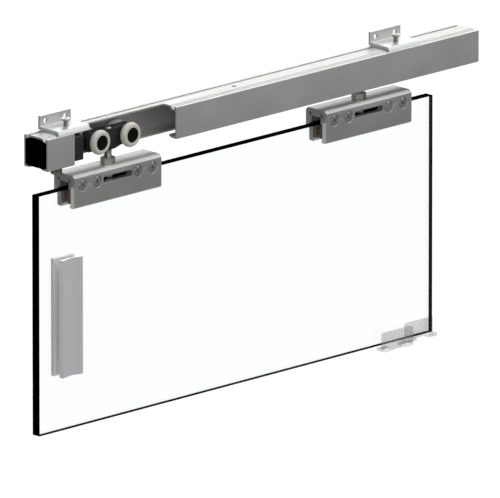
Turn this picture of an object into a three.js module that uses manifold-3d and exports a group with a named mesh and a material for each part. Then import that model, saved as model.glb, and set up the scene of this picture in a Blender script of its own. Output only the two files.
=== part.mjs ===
// Sliding glass door hardware: a track rail on two wall brackets, two four-wheel carriages,
// two glass clamps hung from them on height-adjusting bolts, the glass panel with its pull
// grips, the end stops inside the rail and the guides on the floor.
//
// Inner frame of the model, in millimetres: X runs along the rail from its left end, Y runs
// from the rail's front face towards the wall, and Z rises from the rail's underside. The
// outer group moves this frame so that the origin is at the centre of the left bracket's
// back face, where it lies on the wall.

import * as THREE from "three";
import { mergeVertices } from "three/addons/utils/BufferGeometryUtils.js";
import Module from "manifold-3d";

const wasm = await Module();
wasm.setup();

// ---------------------------------------------------------------- driving dimensions

// Gaps
const SEAT_GAP = 0.3; // between pieces that touch on the real object
const RUN_GAP = 0.25; // between a wheel and the surface it rolls on
const OVERRUN = 1; // how far a cutter runs past the faces that it cuts

// Wheels and their axles
const WHEEL_DIAMETER = 25;
const WHEEL_WIDTH = 7.5;
const TYRE_FACE_DIAMETER = 20.8; // where the flat side ring turns into the crown
const HUB_DIAMETER = 15.2;
const HUB_RECESS = 0.4;
const HUB_CAP = 1.4; // closed outer end of the hub
const AXLE_DIAMETER = 4;
const WHEELBASE = 42;

// Carriage chassis
const CHASSIS_LENGTH = 66;
const CHASSIS_BOLT_WALL = 1.6; // beside the bolt's thread
const CHASSIS_WHEEL_GAP = 1.2;
const CHASSIS_ABOVE_AXLE = 9.5;
const CHASSIS_ABOVE_LIP = 3.15; // underside above the lips' thinnest line
const CHASSIS_KEEL = 2.5; // how far the middle of the underside hangs below its ends
const CHASSIS_KEEL_FLAT = 9;
const CHASSIS_KEEL_LENGTH = 28;
const CHASSIS_CORNER = 5;

// Track rail
const RAIL_WALL = 2;
const RAIL_WHEEL_GAP = 0.5; // between a wheel's side and the rail's wall
const LIP_THICKNESS = 1.8; // under the lowest line of the running groove
const LIP_GAP = 0.4; // between the chassis and the lips on each side
const LIP_BEVEL_START = 6.2;
const LIP_BEVEL_RISE = 1.4;
const RUNNING_RADIUS = 7;
const WHEEL_HEADROOM = 1.35;
const GROOVE_FLOOR = 1.4; // skin under the bracket grooves
const GROOVE_DEPTH = 2.7;
const GROOVE_EDGE = 3.9; // from the rail's face to the groove's mouth
const GROOVE_WIDTH = 3.3;
const CROWN_RISE = 0.6; // the middle of the top above its corners
const CROWN_START = 8.4;
const CROWN_SLOPE = 0.8;
const CROWN_SKIN = 2;
const RAIL_EDGE = 0.6; // small chamfer along the outer corners
const RAIL_HOLE_DIAMETER = 5;
const RAIL_HOLE_X = 273;

// Display cutaway in the rail's front wall and top, around the left carriage
const CUT_BEFORE_CARRIAGE = 61.5;
const CUT_AFTER_CARRIAGE = 78.5;
const CUT_DEPTH = 18.6;

// End stops
const STOP_INSET = 10;
const STOP_BASE_LENGTH = 14;
const STOP_BASE_HEIGHT = 5.2;
const STOP_BLOCK_LENGTH = 27;
const STOP_CORNER = 2;
const STOP_BASE_CORNER = 0.5;
const BUFFER_LENGTH = 3;
const BUFFER_WIDTH = 14;
const BUFFER_HEIGHT = 10;
const STOP_SCREW_DIAMETER = 6;
const STOP_SCREW_X = 18; // from the outer end of the stop
const STOP_SCREW_REACH = 14; // of the left screw into its stop
const STOP_SCREW_FLANGE_DIAMETER = 15;
const STOP_SCREW_FLANGE = 1.6;
const STOP_SCREW_HEAD_FLATS = 10;
const STOP_SCREW_HEAD_HEIGHT = 8;
const STOP_SCREW_SOCKET_FLATS = 3;
const STOP_SCREW_SOCKET_DEPTH = 3.5;

// Travel of the door from the place shown
const TRAVEL_LEFT = 11.5;
const TRAVEL_RIGHT = 65.5;

// Wall brackets
const BRACKET_LENGTH = 42.5;
const BRACKET_PLATE = 3;
const BRACKET_LEG = 2.6;
const BRACKET_LEG_HEIGHT = 10.9; // above the plate
const BRACKET_FROM_LEFT_END = 41;
const BRACKET_FROM_RIGHT_END = 100.5;
const WALL_GAP = 0.5; // between the rail's back and the wall
const HOOK_LEAN = 0.54; // sideways per unit of height
const HOOK_THICKNESS = 2.3;
const HOOK_TIP_GAP = 1.1;
const WALL_HOLE_DIAMETER = 5.2;
const WALL_HOLE_SPACING = 27;
const WALL_HOLE_ABOVE_PLATE = 5;
const SET_SCREW_DIAMETER = 5;
const SET_SCREW_HEAD_DIAMETER = 9.2;
const SET_SCREW_CONE = 2.6;
const SET_SCREW_RIM = 0.9;
const SET_SCREW_STANDOUT = 7.8; // head above the plate
const SET_SCREW_SOCKET_FLATS = 3;
const SET_SCREW_SOCKET_DEPTH = 2;

// Suspension bolts and lock nuts
const BOLT_DIAMETER = 8;
const BOLT_HEAD_FLATS = 10;
const BOLT_HEAD_HEIGHT = 5.5;
const BOLT_TIP_ABOVE_CHASSIS = 1;
const BOLT_TIP_CHAMFER = 0.8;
const NUT_FLATS = 13;
const NUT_HEIGHT = 6.4;
const NUT_BELOW_RAIL = 5.9;
const NUT_TURN = -8; // degrees, where its corners stopped when it was locked

// Glass panel and what holds it
const GLASS_WIDTH = 548;
const GLASS_HEIGHT = 246;
const GLASS_THICKNESS = 10;
const CLAMP_INSET = 99.5; // from a side edge of the glass to the middle of its clamp
const CLAMP_LENGTH = 120;
const JAW_THICKNESS = 5.5;
const JAW_FOOT = 1.3;
const JAW_FOOT_HEIGHT = 4;
const JAW_CORNER = 1.5;
const CLAMP_GRIP = 19.1; // how far the clamp reaches down over the glass
const CLAMP_CHAMFER = 3;
const CLAMP_WEB = 8.1; // solid top above the bolt channel
const CHANNEL_HEAD_CLEARANCE = 0.45; // around the turning bolt head
const CHANNEL_HEIGHT = 6.4;
const NUT_RECESS_WIDTH = 16;
const NUT_RECESS_DEPTH = 0.6;
const GASKET_THICKNESS = 3.4;
const GASKET_TOP_GAP = 1;
const PORT_DIAMETER = 3.2;
const PORT_OFFSET = 8;
const PORT_BELOW_TOP = 6.1;
const WINDOW_LENGTH = 40;
const WINDOW_MARGIN = 0.05; // of the window inside the channel's height
const CLAMP_SCREW_DIAMETER = 5;
const CLAMP_SCREW_HEAD_DIAMETER = 9.2;
const CLAMP_SCREW_CONE = 2.4;
const CLAMP_SCREW_SINK = 0.4;
const CLAMP_SCREW_REACH = 24.6;
const CLAMP_SCREW_END_INSETS = [12, 32]; // from each end of the clamp
const CLAMP_SCREW_SOCKET_FLATS = 3;
const CLAMP_SCREW_SOCKET_DEPTH = 1.8;

// Pull grips, one bonded to each face of the glass
const GRIP_WIDTH = 28.5;
const GRIP_HEIGHT = 120.4;
const GRIP_THICKNESS = 4.4;
const GRIP_FROM_EDGE = 26.6;
const GRIP_BELOW_GLASS_TOP = 70.3;
const GRIP_RIM = 4;
const GRIP_SCOOP = 2.6;
const GRIP_SCOOP_LEAN = 1.4; // above 1, the deepest line leans towards the wide rim
const GRIP_FAR_RIM = 1.2;
const PAD_THICKNESS = 0.5;
const PAD_MARGIN = 1.5;

// Floor guides
const GUIDE_LENGTH = 42;
const GUIDE_PLATE = 3;
const GUIDE_GLASS_GAP = 0.8;
const GUIDE_HEIGHT = 19.5;
const GUIDE_OVER_GLASS = 13; // how far the plate reaches up beside the glass
const GUIDE_FOOT = 13;
const GUIDE_FOOT_THICKNESS = 2.5;
const GUIDE_FOOT_OVERHANG = 2; // of the foot beyond the plate's outer face
const GUIDE_FOOT_CORNER = 3;
const GUIDE_HOLE_DIAMETER = 4.2;
const GUIDE_FROM_GLASS_EDGE = 73;
const GUIDE_CORNER = 1.5;

// Facets
const ROUND_SIDES = 20;
const SMALL_SIDES = 12;
const ARC_STEPS = 4;
const TREAD_STEPS = 6;

// ---------------------------------------------------------------- derived places

const wheelRadius = WHEEL_DIAMETER / 2;
const axleZ = LIP_THICKNESS + RUN_GAP + wheelRadius;
const ceilingZ = axleZ + wheelRadius + WHEEL_HEADROOM;
const railTop = ceilingZ + GROOVE_FLOOR + GROOVE_DEPTH;
const crownTop = railTop + CROWN_RISE;
const wheelSide = RAIL_WALL + RAIL_WHEEL_GAP;
const chassisFront = wheelSide + WHEEL_WIDTH + CHASSIS_WHEEL_GAP;
const chassisWidth = BOLT_DIAMETER + 2 * CHASSIS_BOLT_WALL;
const railWidth = 2 * chassisFront + chassisWidth;
const midY = railWidth / 2;
const lipTip = chassisFront - LIP_GAP;
const runningY = wheelSide + WHEEL_WIDTH / 2;

const stopLength = STOP_BASE_LENGTH + STOP_BLOCK_LENGTH;
const carriageLeft = STOP_INSET + stopLength + BUFFER_LENGTH + TRAVEL_LEFT + CHASSIS_LENGTH / 2;
const carriageRight = carriageLeft + GLASS_WIDTH - 2 * CLAMP_INSET;
const carriages = { left: carriageLeft, right: carriageRight };
const railLength =
  carriageRight + CHASSIS_LENGTH / 2 + TRAVEL_RIGHT + BUFFER_LENGTH + stopLength + STOP_INSET;

const plateBottom = crownTop + SEAT_GAP;
const plateTop = plateBottom + BRACKET_PLATE;
const wallY = railWidth + WALL_GAP;
const wallHoleZ = plateTop + WALL_HOLE_ABOVE_PLATE;
const brackets = { left: BRACKET_FROM_LEFT_END, right: railLength - BRACKET_FROM_RIGHT_END };

const chassisTop = axleZ + CHASSIS_ABOVE_AXLE;
const chassisBottom = LIP_THICKNESS + CHASSIS_ABOVE_LIP;
const boltTip = chassisTop + BOLT_TIP_ABOVE_CHASSIS;
const nutTop = -NUT_BELOW_RAIL;
const nutBottom = nutTop - NUT_HEIGHT;
const clampTop = nutBottom - SEAT_GAP + NUT_RECESS_DEPTH;
const channelTop = clampTop - CLAMP_WEB;
const channelBottom = channelTop - CHANNEL_HEIGHT;
const windowZ = (channelTop + channelBottom) / 2;
const channelHalf = BOLT_HEAD_FLATS / Math.sqrt(3) + CHANNEL_HEAD_CLEARANCE;
const glassTop = channelBottom - SEAT_GAP;
const clampBottom = glassTop - CLAMP_GRIP;
const glassFront = midY - GLASS_THICKNESS / 2;
const glassBack = midY + GLASS_THICKNESS / 2;
const jawInner = glassFront - 2 * SEAT_GAP - GASKET_THICKNESS;
const clampFront = jawInner - JAW_THICKNESS;
const clampBack = railWidth - clampFront;
const glassLeft = carriageLeft - CLAMP_INSET;
const glassRight = glassLeft + GLASS_WIDTH;
const glassBottom = glassTop - GLASS_HEIGHT;

// ---------------------------------------------------------------- geometry helpers

const assembly = new THREE.Group();
const inner = new THREE.Group();
inner.position.set(-brackets.left, -wallY, -wallHoleZ);
assembly.add(inner);

function addPart(name, geometry, finish) {
  const mesh = new THREE.Mesh(geometry, new THREE.MeshStandardMaterial(finish));
  mesh.name = name;
  inner.add(mesh);
}

// A closed three.js geometry as a solid that can be joined and cut.
function solid(geometry) {
  const bare = geometry.clone();
  bare.deleteAttribute("normal");
  bare.deleteAttribute("uv");
  const merged = mergeVertices(bare, 1e-5);
  return new wasm.Manifold(
    new wasm.Mesh({
      numProp: 3,
      vertProperties: merged.attributes.position.array,
      triVerts: new Uint32Array(merged.index.array),
    }),
  );
}

function geometryOf(body) {
  const mesh = body.getMesh();
  const geometry = new THREE.BufferGeometry();
  geometry.setAttribute("position", new THREE.BufferAttribute(mesh.vertProperties, 3));
  geometry.setIndex(new THREE.BufferAttribute(mesh.triVerts, 1));
  geometry.computeVertexNormals();
  return geometry;
}

function join(first, ...rest) {
  return rest.reduce((body, next) => body.add(next), first);
}

function cut(first, ...rest) {
  return rest.reduce((body, next) => body.subtract(next), first);
}

function outline(points) {
  return new THREE.Shape(points.map(([u, v]) => new THREE.Vector2(u, v)));
}

// Turns an extrusion's own axes onto the model's: u, v and the direction it was pushed in.
function onAxes(geometry, u, v, w) {
  const turn = new THREE.Matrix4().makeBasis(
    new THREE.Vector3(...u),
    new THREE.Vector3(...v),
    new THREE.Vector3(...w),
  );
  return geometry.applyMatrix4(turn);
}

// A (y, z) section pushed along X from x0 to x1.
function alongX(section, x0, x1) {
  const geometry = new THREE.ExtrudeGeometry(section, { depth: x1 - x0, bevelEnabled: false });
  return onAxes(geometry, [0, 1, 0], [0, 0, 1], [1, 0, 0]).translate(x0, 0, 0);
}

// An (x, z) section pushed along Y from y0 to y1.
function alongY(section, y0, y1) {
  const geometry = new THREE.ExtrudeGeometry(section, { depth: y1 - y0, bevelEnabled: false });
  return onAxes(geometry, [1, 0, 0], [0, 0, 1], [0, -1, 0]).translate(0, y1, 0);
}

// An (x, y) section pushed along Z from z0 to z1.
function alongZ(section, z0, z1) {
  const geometry = new THREE.ExtrudeGeometry(section, { depth: z1 - z0, bevelEnabled: false });
  return geometry.translate(0, 0, z0);
}

function block(x0, x1, y0, y1, z0, z1) {
  const geometry = new THREE.BoxGeometry(x1 - x0, y1 - y0, z1 - z0);
  return geometry.translate((x0 + x1) / 2, (y0 + y1) / 2, (z0 + z1) / 2);
}

// A closed (radius, height) profile turned about an axis through (x, y, z).
function turned(profile, axis, x, y, z, sides) {
  const points = profile.map(([radius, height]) => new THREE.Vector2(radius, height));
  const geometry = new THREE.LatheGeometry(points, sides);
  if (axis === "z") geometry.rotateX(Math.PI / 2);
  return geometry.translate(x, y, z);
}

// A plain cylinder from low to high along its axis; (a, b) are its two other coordinates.
function rod(axis, radius, low, high, a, b, sides) {
  const profile = [
    [0, low],
    [radius, low],
    [radius, high],
    [0, high],
  ];
  if (axis === "z") return turned(profile, "z", a, b, 0, sides);
  return turned(profile, "y", a, 0, b, sides);
}

// A hexagonal bar by its width across the flats.
function hexBar(axis, flats, low, high, a, b) {
  return rod(axis, flats / Math.sqrt(3), low, high, a, b, 6);
}

// A rectangle with its corners cut or rounded by an arc of the given radius.
function roundedRectangle(u0, u1, v0, v1, radius) {
  const shape = new THREE.Shape();
  shape.absarc(u1 - radius, v1 - radius, radius, 0, Math.PI / 2);
  shape.absarc(u0 + radius, v1 - radius, radius, Math.PI / 2, Math.PI);
  shape.absarc(u0 + radius, v0 + radius, radius, Math.PI, 1.5 * Math.PI);
  shape.absarc(u1 - radius, v0 + radius, radius, 1.5 * Math.PI, 2 * Math.PI);
  return outline(shape.getPoints(ARC_STEPS).map((point) => [point.x, point.y]));
}

const mirrorY = ([y, z]) => [railWidth - y, z];

// ---------------------------------------------------------------- track rail

// Height of the running groove above the rail's underside at a distance from its face.
function runningZ(y) {
  const across = y - runningY;
  return LIP_THICKNESS + RUNNING_RADIUS - Math.sqrt(RUNNING_RADIUS ** 2 - across ** 2);
}

// Points along the running groove from y0 to y1, lifted by a clearance.
function runningGroove(y0, y1, lift) {
  return Array.from({ length: ARC_STEPS + 1 }, (_, step) => {
    const y = y0 + ((y1 - y0) * step) / ARC_STEPS;
    return [y, runningZ(y) + lift];
  });
}

function railSection() {
  const grooveBottom = railTop - GROOVE_DEPTH;
  const grooveShift = HOOK_LEAN * GROOVE_DEPTH;
  const outside = [
    [lipTip, LIP_BEVEL_RISE],
    [LIP_BEVEL_START, 0],
    [RAIL_EDGE, 0],
    [0, RAIL_EDGE],
    [0, railTop - RAIL_EDGE],
    [RAIL_EDGE, railTop],
    [GROOVE_EDGE, railTop],
    [GROOVE_EDGE - grooveShift, grooveBottom],
    [GROOVE_EDGE - grooveShift + GROOVE_WIDTH, grooveBottom],
    [GROOVE_EDGE + GROOVE_WIDTH, railTop],
    [CROWN_START, railTop],
    [CROWN_START + CROWN_SLOPE, crownTop],
  ];
  const inside = [
    ...runningGroove(lipTip, RAIL_WALL, 0),
    [RAIL_WALL, ceilingZ - RAIL_EDGE],
    [RAIL_WALL + RAIL_EDGE, ceilingZ],
    [CROWN_START - RAIL_EDGE, ceilingZ],
    [CROWN_START + 2 * CROWN_SLOPE, crownTop - CROWN_SKIN],
  ];
  return outline([
    ...outside,
    ...outside.map(mirrorY).reverse(),
    ...inside.map(mirrorY),
    ...inside.slice().reverse(),
  ]);
}

function makeRail() {
  const cutStart = carriageLeft - CUT_BEFORE_CARRIAGE;
  const cutEnd = carriageLeft + CUT_AFTER_CARRIAGE;
  const profile = solid(alongX(railSection(), 0, railLength));
  const cutTop = crownTop + OVERRUN;
  const cutaway = solid(block(cutStart, cutEnd, -OVERRUN, CUT_DEPTH, -OVERRUN, cutTop));
  const hole = rod("z", RAIL_HOLE_DIAMETER / 2, ceilingZ, cutTop, RAIL_HOLE_X, midY, SMALL_SIDES);
  return geometryOf(cut(profile, cutaway, solid(hole)));
}

addPart("track_rail", makeRail(), { color: 0xb9bcc0, roughness: 0.35, metalness: 0.9 });

// ---------------------------------------------------------------- wall brackets

// Front surface of the bracket's hook at a height.
function hookFace(z) {
  return GROOVE_EDGE + SEAT_GAP * Math.hypot(1, HOOK_LEAN) + HOOK_LEAN * (z - railTop);
}

function bracketSection() {
  const tipZ = railTop - GROOVE_DEPTH + HOOK_TIP_GAP;
  const legFront = wallY - BRACKET_LEG;
  return outline([
    [hookFace(tipZ), tipZ],
    [hookFace(tipZ) + HOOK_THICKNESS, tipZ],
    [hookFace(plateBottom) + HOOK_THICKNESS, plateBottom],
    mirrorY([hookFace(plateBottom) + HOOK_THICKNESS, plateBottom]),
    mirrorY([hookFace(tipZ) + HOOK_THICKNESS, tipZ]),
    mirrorY([hookFace(tipZ), tipZ]),
    mirrorY([hookFace(plateBottom), plateBottom]),
    [wallY, plateBottom],
    [wallY, plateTop + BRACKET_LEG_HEIGHT],
    [legFront, plateTop + BRACKET_LEG_HEIGHT],
    [legFront, plateTop],
    [hookFace(plateTop), plateTop],
  ]);
}

function makeBracket(x) {
  const half = BRACKET_LENGTH / 2;
  const profile = solid(alongX(bracketSection(), x - half, x + half));
  const wallHoles = [-1, 1].map((side) =>
    solid(
      rod(
        "y",
        WALL_HOLE_DIAMETER / 2,
        wallY - BRACKET_LEG - OVERRUN,
        wallY + OVERRUN,
        x + (side * WALL_HOLE_SPACING) / 2,
        wallHoleZ,
        SMALL_SIDES,
      ),
    ),
  );
  const screwRadius = SET_SCREW_DIAMETER / 2 + SEAT_GAP;
  const screwHole = rod("z", screwRadius, crownTop, plateTop + OVERRUN, x, midY, SMALL_SIDES);
  return geometryOf(cut(profile, ...wallHoles, solid(screwHole)));
}

// The screw is threaded through the plate and bears on the rail's crown.
function makeSetScrew(x) {
  const headTop = plateTop + SET_SCREW_STANDOUT;
  const shank = SET_SCREW_DIAMETER / 2;
  const head = SET_SCREW_HEAD_DIAMETER / 2;
  const body = turned(
    [
      [0, plateBottom],
      [shank, plateBottom],
      [shank, headTop - SET_SCREW_RIM - SET_SCREW_CONE],
      [head, headTop - SET_SCREW_RIM],
      [head, headTop],
      [0, headTop],
    ],
    "z",
    x,
    midY,
    0,
    ROUND_SIDES,
  );
  const socket = hexBar(
    "z",
    SET_SCREW_SOCKET_FLATS,
    headTop - SET_SCREW_SOCKET_DEPTH,
    headTop + OVERRUN,
    x,
    midY,
  );
  return geometryOf(cut(solid(body), solid(socket)));
}

for (const [side, x] of Object.entries(brackets)) {
  addPart(`wall_bracket_${side}`, makeBracket(x), {
    color: 0xc6cacd,
    roughness: 0.35,
    metalness: 0.9,
  });
  addPart(`bracket_screw_${side}`, makeSetScrew(x), {
    color: 0x8d8379,
    roughness: 0.4,
    metalness: 0.9,
  });
}

// ---------------------------------------------------------------- end stops

// Section of a stop that fills the rail: its feet follow the running grooves.
function stopSection(top) {
  const side = RAIL_WALL + SEAT_GAP;
  const corner = top > axleZ ? STOP_CORNER : STOP_BASE_CORNER;
  const foot = [
    [chassisFront, SEAT_GAP],
    [chassisFront, runningZ(lipTip) + SEAT_GAP],
    ...runningGroove(lipTip, side, SEAT_GAP),
    [side, top - corner],
    [side + corner, top],
  ];
  return outline([...foot, ...foot.map(mirrorY).reverse()]);
}

// Stops are drawn for the left end; the right one is the same piece turned end for end, with
// its screw hole drilled right through.
function makeStop(fromEnd, boreTop) {
  const blockTop = ceilingZ - SEAT_GAP;
  const baseTop = runningZ(runningY) + STOP_BASE_HEIGHT;
  const baseStart = STOP_INSET;
  const blockStart = STOP_INSET + STOP_BASE_LENGTH;
  const blockEnd = STOP_INSET + stopLength;
  const span = (x0, x1) => [Math.min(fromEnd(x0), fromEnd(x1)), Math.max(fromEnd(x0), fromEnd(x1))];
  const base = solid(alongX(stopSection(baseTop), ...span(baseStart, blockStart + OVERRUN)));
  const tall = solid(alongX(stopSection(blockTop), ...span(blockStart, blockEnd)));
  const bore = rod(
    "z",
    STOP_SCREW_DIAMETER / 2 + SEAT_GAP,
    -OVERRUN,
    boreTop,
    fromEnd(STOP_INSET + STOP_SCREW_X),
    midY,
    SMALL_SIDES,
  );
  return geometryOf(cut(join(base, tall), solid(bore)));
}

function makeBuffer(fromEnd) {
  const start = STOP_INSET + stopLength + SEAT_GAP;
  const end = STOP_INSET + stopLength + BUFFER_LENGTH;
  const low = axleZ - BUFFER_HEIGHT / 2;
  const faces = [fromEnd(start), fromEnd(end)].sort((a, b) => a - b);
  const section = roundedRectangle(
    midY - BUFFER_WIDTH / 2,
    midY + BUFFER_WIDTH / 2,
    low,
    low + BUFFER_HEIGHT,
    STOP_CORNER,
  );
  return alongX(section, ...faces);
}

// The left screw: its flange pulls up against the rail's lips, its shank is in the stop.
function makeFlangeScrew(x) {
  const flangeTop = -SEAT_GAP;
  const flangeBottom = flangeTop - STOP_SCREW_FLANGE;
  const headBottom = flangeBottom - STOP_SCREW_HEAD_HEIGHT;
  const sides = SMALL_SIDES;
  const shank = rod("z", STOP_SCREW_DIAMETER / 2, flangeBottom, STOP_SCREW_REACH, x, midY, sides);
  const flange = rod(
    "z",
    STOP_SCREW_FLANGE_DIAMETER / 2,
    flangeBottom,
    flangeTop,
    x,
    midY,
    ROUND_SIDES,
  );
  const headTop = (flangeBottom + flangeTop) / 2;
  const head = hexBar("z", STOP_SCREW_HEAD_FLATS, headBottom, headTop, x, midY);
  return geometryOf(join(solid(shank), solid(flange), solid(head)));
}

// The right screw: a set screw driven up through the stop against the roof of the rail.
function makeSetStopScrew(x) {
  const low = SEAT_GAP;
  const high = crownTop - CROWN_SKIN - SEAT_GAP;
  const shank = rod("z", STOP_SCREW_DIAMETER / 2, low, high, x, midY, SMALL_SIDES);
  const socketTop = low + STOP_SCREW_SOCKET_DEPTH;
  const socket = hexBar("z", STOP_SCREW_SOCKET_FLATS, low - OVERRUN, socketTop, x, midY);
  return geometryOf(cut(solid(shank), solid(socket)));
}

const stops = {
  left: {
    fromEnd: (x) => x,
    makeScrew: makeFlangeScrew,
    boreTop: STOP_SCREW_REACH + SEAT_GAP,
  },
  right: {
    fromEnd: (x) => railLength - x,
    makeScrew: makeSetStopScrew,
    boreTop: ceilingZ + OVERRUN,
  },
};
for (const [side, { fromEnd, makeScrew, boreTop }] of Object.entries(stops)) {
  addPart(`end_stop_${side}`, makeStop(fromEnd, boreTop), { color: 0x17171a, roughness: 0.6 });
  addPart(`end_stop_buffer_${side}`, makeBuffer(fromEnd), { color: 0x26262a, roughness: 0.85 });
  addPart(`end_stop_screw_${side}`, makeScrew(fromEnd(STOP_INSET + STOP_SCREW_X)), {
    color: 0x5f5750,
    roughness: 0.45,
    metalness: 0.9,
  });
}

// ---------------------------------------------------------------- carriages

function chassisSection(x) {
  const half = CHASSIS_LENGTH / 2;
  const keelZ = chassisBottom - CHASSIS_KEEL;
  return outline([
    [x - half, chassisBottom],
    [x - CHASSIS_KEEL_LENGTH / 2, chassisBottom],
    [x - CHASSIS_KEEL_FLAT / 2, keelZ],
    [x + CHASSIS_KEEL_FLAT / 2, keelZ],
    [x + CHASSIS_KEEL_LENGTH / 2, chassisBottom],
    [x + half, chassisBottom],
    [x + half, chassisTop - CHASSIS_CORNER],
    [x + half - CHASSIS_CORNER, chassisTop],
    [x - half + CHASSIS_CORNER, chassisTop],
    [x - half, chassisTop - CHASSIS_CORNER],
  ]);
}

function makeChassis(x) {
  const back = chassisFront + chassisWidth;
  const profile = solid(alongY(chassisSection(x), chassisFront, back));
  const boltBore = rod(
    "z",
    BOLT_DIAMETER / 2 + SEAT_GAP,
    -OVERRUN,
    chassisTop + OVERRUN,
    x,
    midY,
    ROUND_SIDES,
  );
  const axleBores = [-1, 1].map((end) =>
    solid(
      rod(
        "y",
        AXLE_DIAMETER / 2 + SEAT_GAP,
        chassisFront - OVERRUN,
        back + OVERRUN,
        x + (end * WHEELBASE) / 2,
        axleZ,
        SMALL_SIDES,
      ),
    ),
  );
  return geometryOf(cut(profile, solid(boltBore), ...axleBores));
}

function makeAxle(x) {
  const end = wheelSide + HUB_RECESS + HUB_CAP + SEAT_GAP;
  return rod("y", AXLE_DIAMETER / 2, end, railWidth - end, x, axleZ, SMALL_SIDES);
}

// Crowned tyre: flat side rings joined by a round tread.
function makeTyre(x, outerSide) {
  const bore = HUB_DIAMETER / 2 + SEAT_GAP;
  const faceRadius = TYRE_FACE_DIAMETER / 2;
  const rise = wheelRadius - faceRadius;
  const half = WHEEL_WIDTH / 2;
  const crownRadius = (half ** 2 + rise ** 2) / (2 * rise);
  const reach = 2 * Math.atan2(rise, half);
  const tread = Array.from({ length: TREAD_STEPS + 1 }, (_, step) => {
    const angle = -reach + (2 * reach * step) / TREAD_STEPS;
    return [wheelRadius - crownRadius * (1 - Math.cos(angle)), crownRadius * Math.sin(angle)];
  });
  const profile = [[bore, -half], ...tread, [bore, half], [bore, -half]];
  const middle = outerSide < 0 ? runningY : railWidth - runningY;
  return turned(profile, "y", x, middle, axleZ, ROUND_SIDES);
}

// Hub with a closed outer face and a blind bore for the axle on the chassis side.
function makeHub(x, outerSide) {
  const half = WHEEL_WIDTH / 2;
  const radius = HUB_DIAMETER / 2;
  const bore = AXLE_DIAMETER / 2 + SEAT_GAP;
  const face = -half + HUB_RECESS;
  const profile = [
    [0, face],
    [radius, face],
    [radius, half],
    [bore, half],
    [bore, face + HUB_CAP],
    [0, face + HUB_CAP],
  ];
  const geometry = turned(profile, "y", 0, 0, 0, ROUND_SIDES);
  if (outerSide > 0) geometry.rotateX(Math.PI);
  const middle = outerSide < 0 ? runningY : railWidth - runningY;
  return geometry.translate(x, middle, axleZ);
}

// The bolt hangs the clamp by its head and is threaded up through the chassis.
function makeBolt(x) {
  const headTop = channelTop - SEAT_GAP;
  const radius = BOLT_DIAMETER / 2;
  const shank = turned(
    [
      [0, headTop - BOLT_HEAD_HEIGHT / 2],
      [radius, headTop - BOLT_HEAD_HEIGHT / 2],
      [radius, boltTip - BOLT_TIP_CHAMFER],
      [radius - BOLT_TIP_CHAMFER, boltTip],
      [0, boltTip],
    ],
    "z",
    x,
    midY,
    0,
    ROUND_SIDES,
  );
  const head = hexBar("z", BOLT_HEAD_FLATS, headTop - BOLT_HEAD_HEIGHT, headTop, x, midY);
  return geometryOf(join(solid(shank), solid(head)));
}

function makeNut(x) {
  const body = hexBar("z", NUT_FLATS, nutBottom, nutTop, 0, 0);
  body.rotateZ(THREE.MathUtils.degToRad(NUT_TURN)).translate(x, midY, 0);
  const bore = rod(
    "z",
    BOLT_DIAMETER / 2 + SEAT_GAP,
    nutBottom - OVERRUN,
    nutTop + OVERRUN,
    x,
    midY,
    ROUND_SIDES,
  );
  return geometryOf(cut(solid(body), solid(bore)));
}

for (const [side, x] of Object.entries(carriages)) {
  addPart(`chassis_${side}`, makeChassis(x), { color: 0x17171a, roughness: 0.5 });
  for (const [end, step] of Object.entries({ a: -1, b: 1 })) {
    const wheelX = x + (step * WHEELBASE) / 2;
    addPart(`axle_${side}_${end}`, makeAxle(wheelX), {
      color: 0xb0b3b6,
      roughness: 0.25,
      metalness: 1,
    });
    for (const [row, outerSide] of Object.entries({ front: -1, rear: 1 })) {
      addPart(`tyre_${side}_${row}_${end}`, makeTyre(wheelX, outerSide), {
        color: 0xe8e4de,
        roughness: 0.4,
      });
      addPart(`hub_${side}_${row}_${end}`, makeHub(wheelX, outerSide), {
        color: 0x0d0d0e,
        roughness: 0.45,
      });
    }
  }
  addPart(`suspension_bolt_${side}`, makeBolt(x), {
    color: 0xb4b6b8,
    roughness: 0.3,
    metalness: 1,
  });
  addPart(`lock_nut_${side}`, makeNut(x), { color: 0xa9a49f, roughness: 0.35, metalness: 1 });
}

// ---------------------------------------------------------------- glass clamps

const clampScrewOffsets = [
  ...CLAMP_SCREW_END_INSETS,
  ...CLAMP_SCREW_END_INSETS.map((inset) => CLAMP_LENGTH - inset).reverse(),
];

// Outline of one leg's lower end with a small foot turned towards the glass.
function legFoot(outer, legInner, footInner) {
  const footTop = clampBottom + JAW_FOOT_HEIGHT;
  const inward = Math.sign(legInner - outer);
  return [
    [legInner, footTop],
    [footInner, footTop - JAW_FOOT],
    [footInner, clampBottom + JAW_CORNER / 2],
    [footInner - inward * (JAW_CORNER / 2), clampBottom],
    [outer + inward * JAW_CORNER, clampBottom],
    [outer, clampBottom + JAW_CORNER],
  ];
}

function jawSection() {
  return outline([
    [clampFront, clampTop - CLAMP_CHAMFER],
    [clampFront + CLAMP_CHAMFER, clampTop],
    [jawInner, clampTop],
    ...legFoot(clampFront, jawInner, jawInner + JAW_FOOT),
  ]);
}

function clampBodySection() {
  const joint = jawInner + SEAT_GAP;
  const legInner = railWidth - jawInner;
  return outline([
    [joint, clampTop],
    [clampBack - CLAMP_CHAMFER, clampTop],
    [clampBack, clampTop - CLAMP_CHAMFER],
    ...legFoot(clampBack, legInner, legInner - JAW_FOOT).reverse(),
    [legInner, channelBottom],
    [midY + channelHalf, channelBottom],
    [midY + channelHalf, channelTop],
    [midY - channelHalf, channelTop],
    [midY - channelHalf, channelBottom],
    [joint, channelBottom],
  ]);
}

// An oblong with round ends in the XZ plane, cut from y0 to y1.
function windowCutter(x, y0, y1) {
  const radius = CHANNEL_HEIGHT / 2 - WINDOW_MARGIN;
  const half = WINDOW_LENGTH / 2;
  const oblong = roundedRectangle(x - half, x + half, windowZ - radius, windowZ + radius, radius);
  return solid(alongY(oblong, y0, y1));
}

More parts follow.
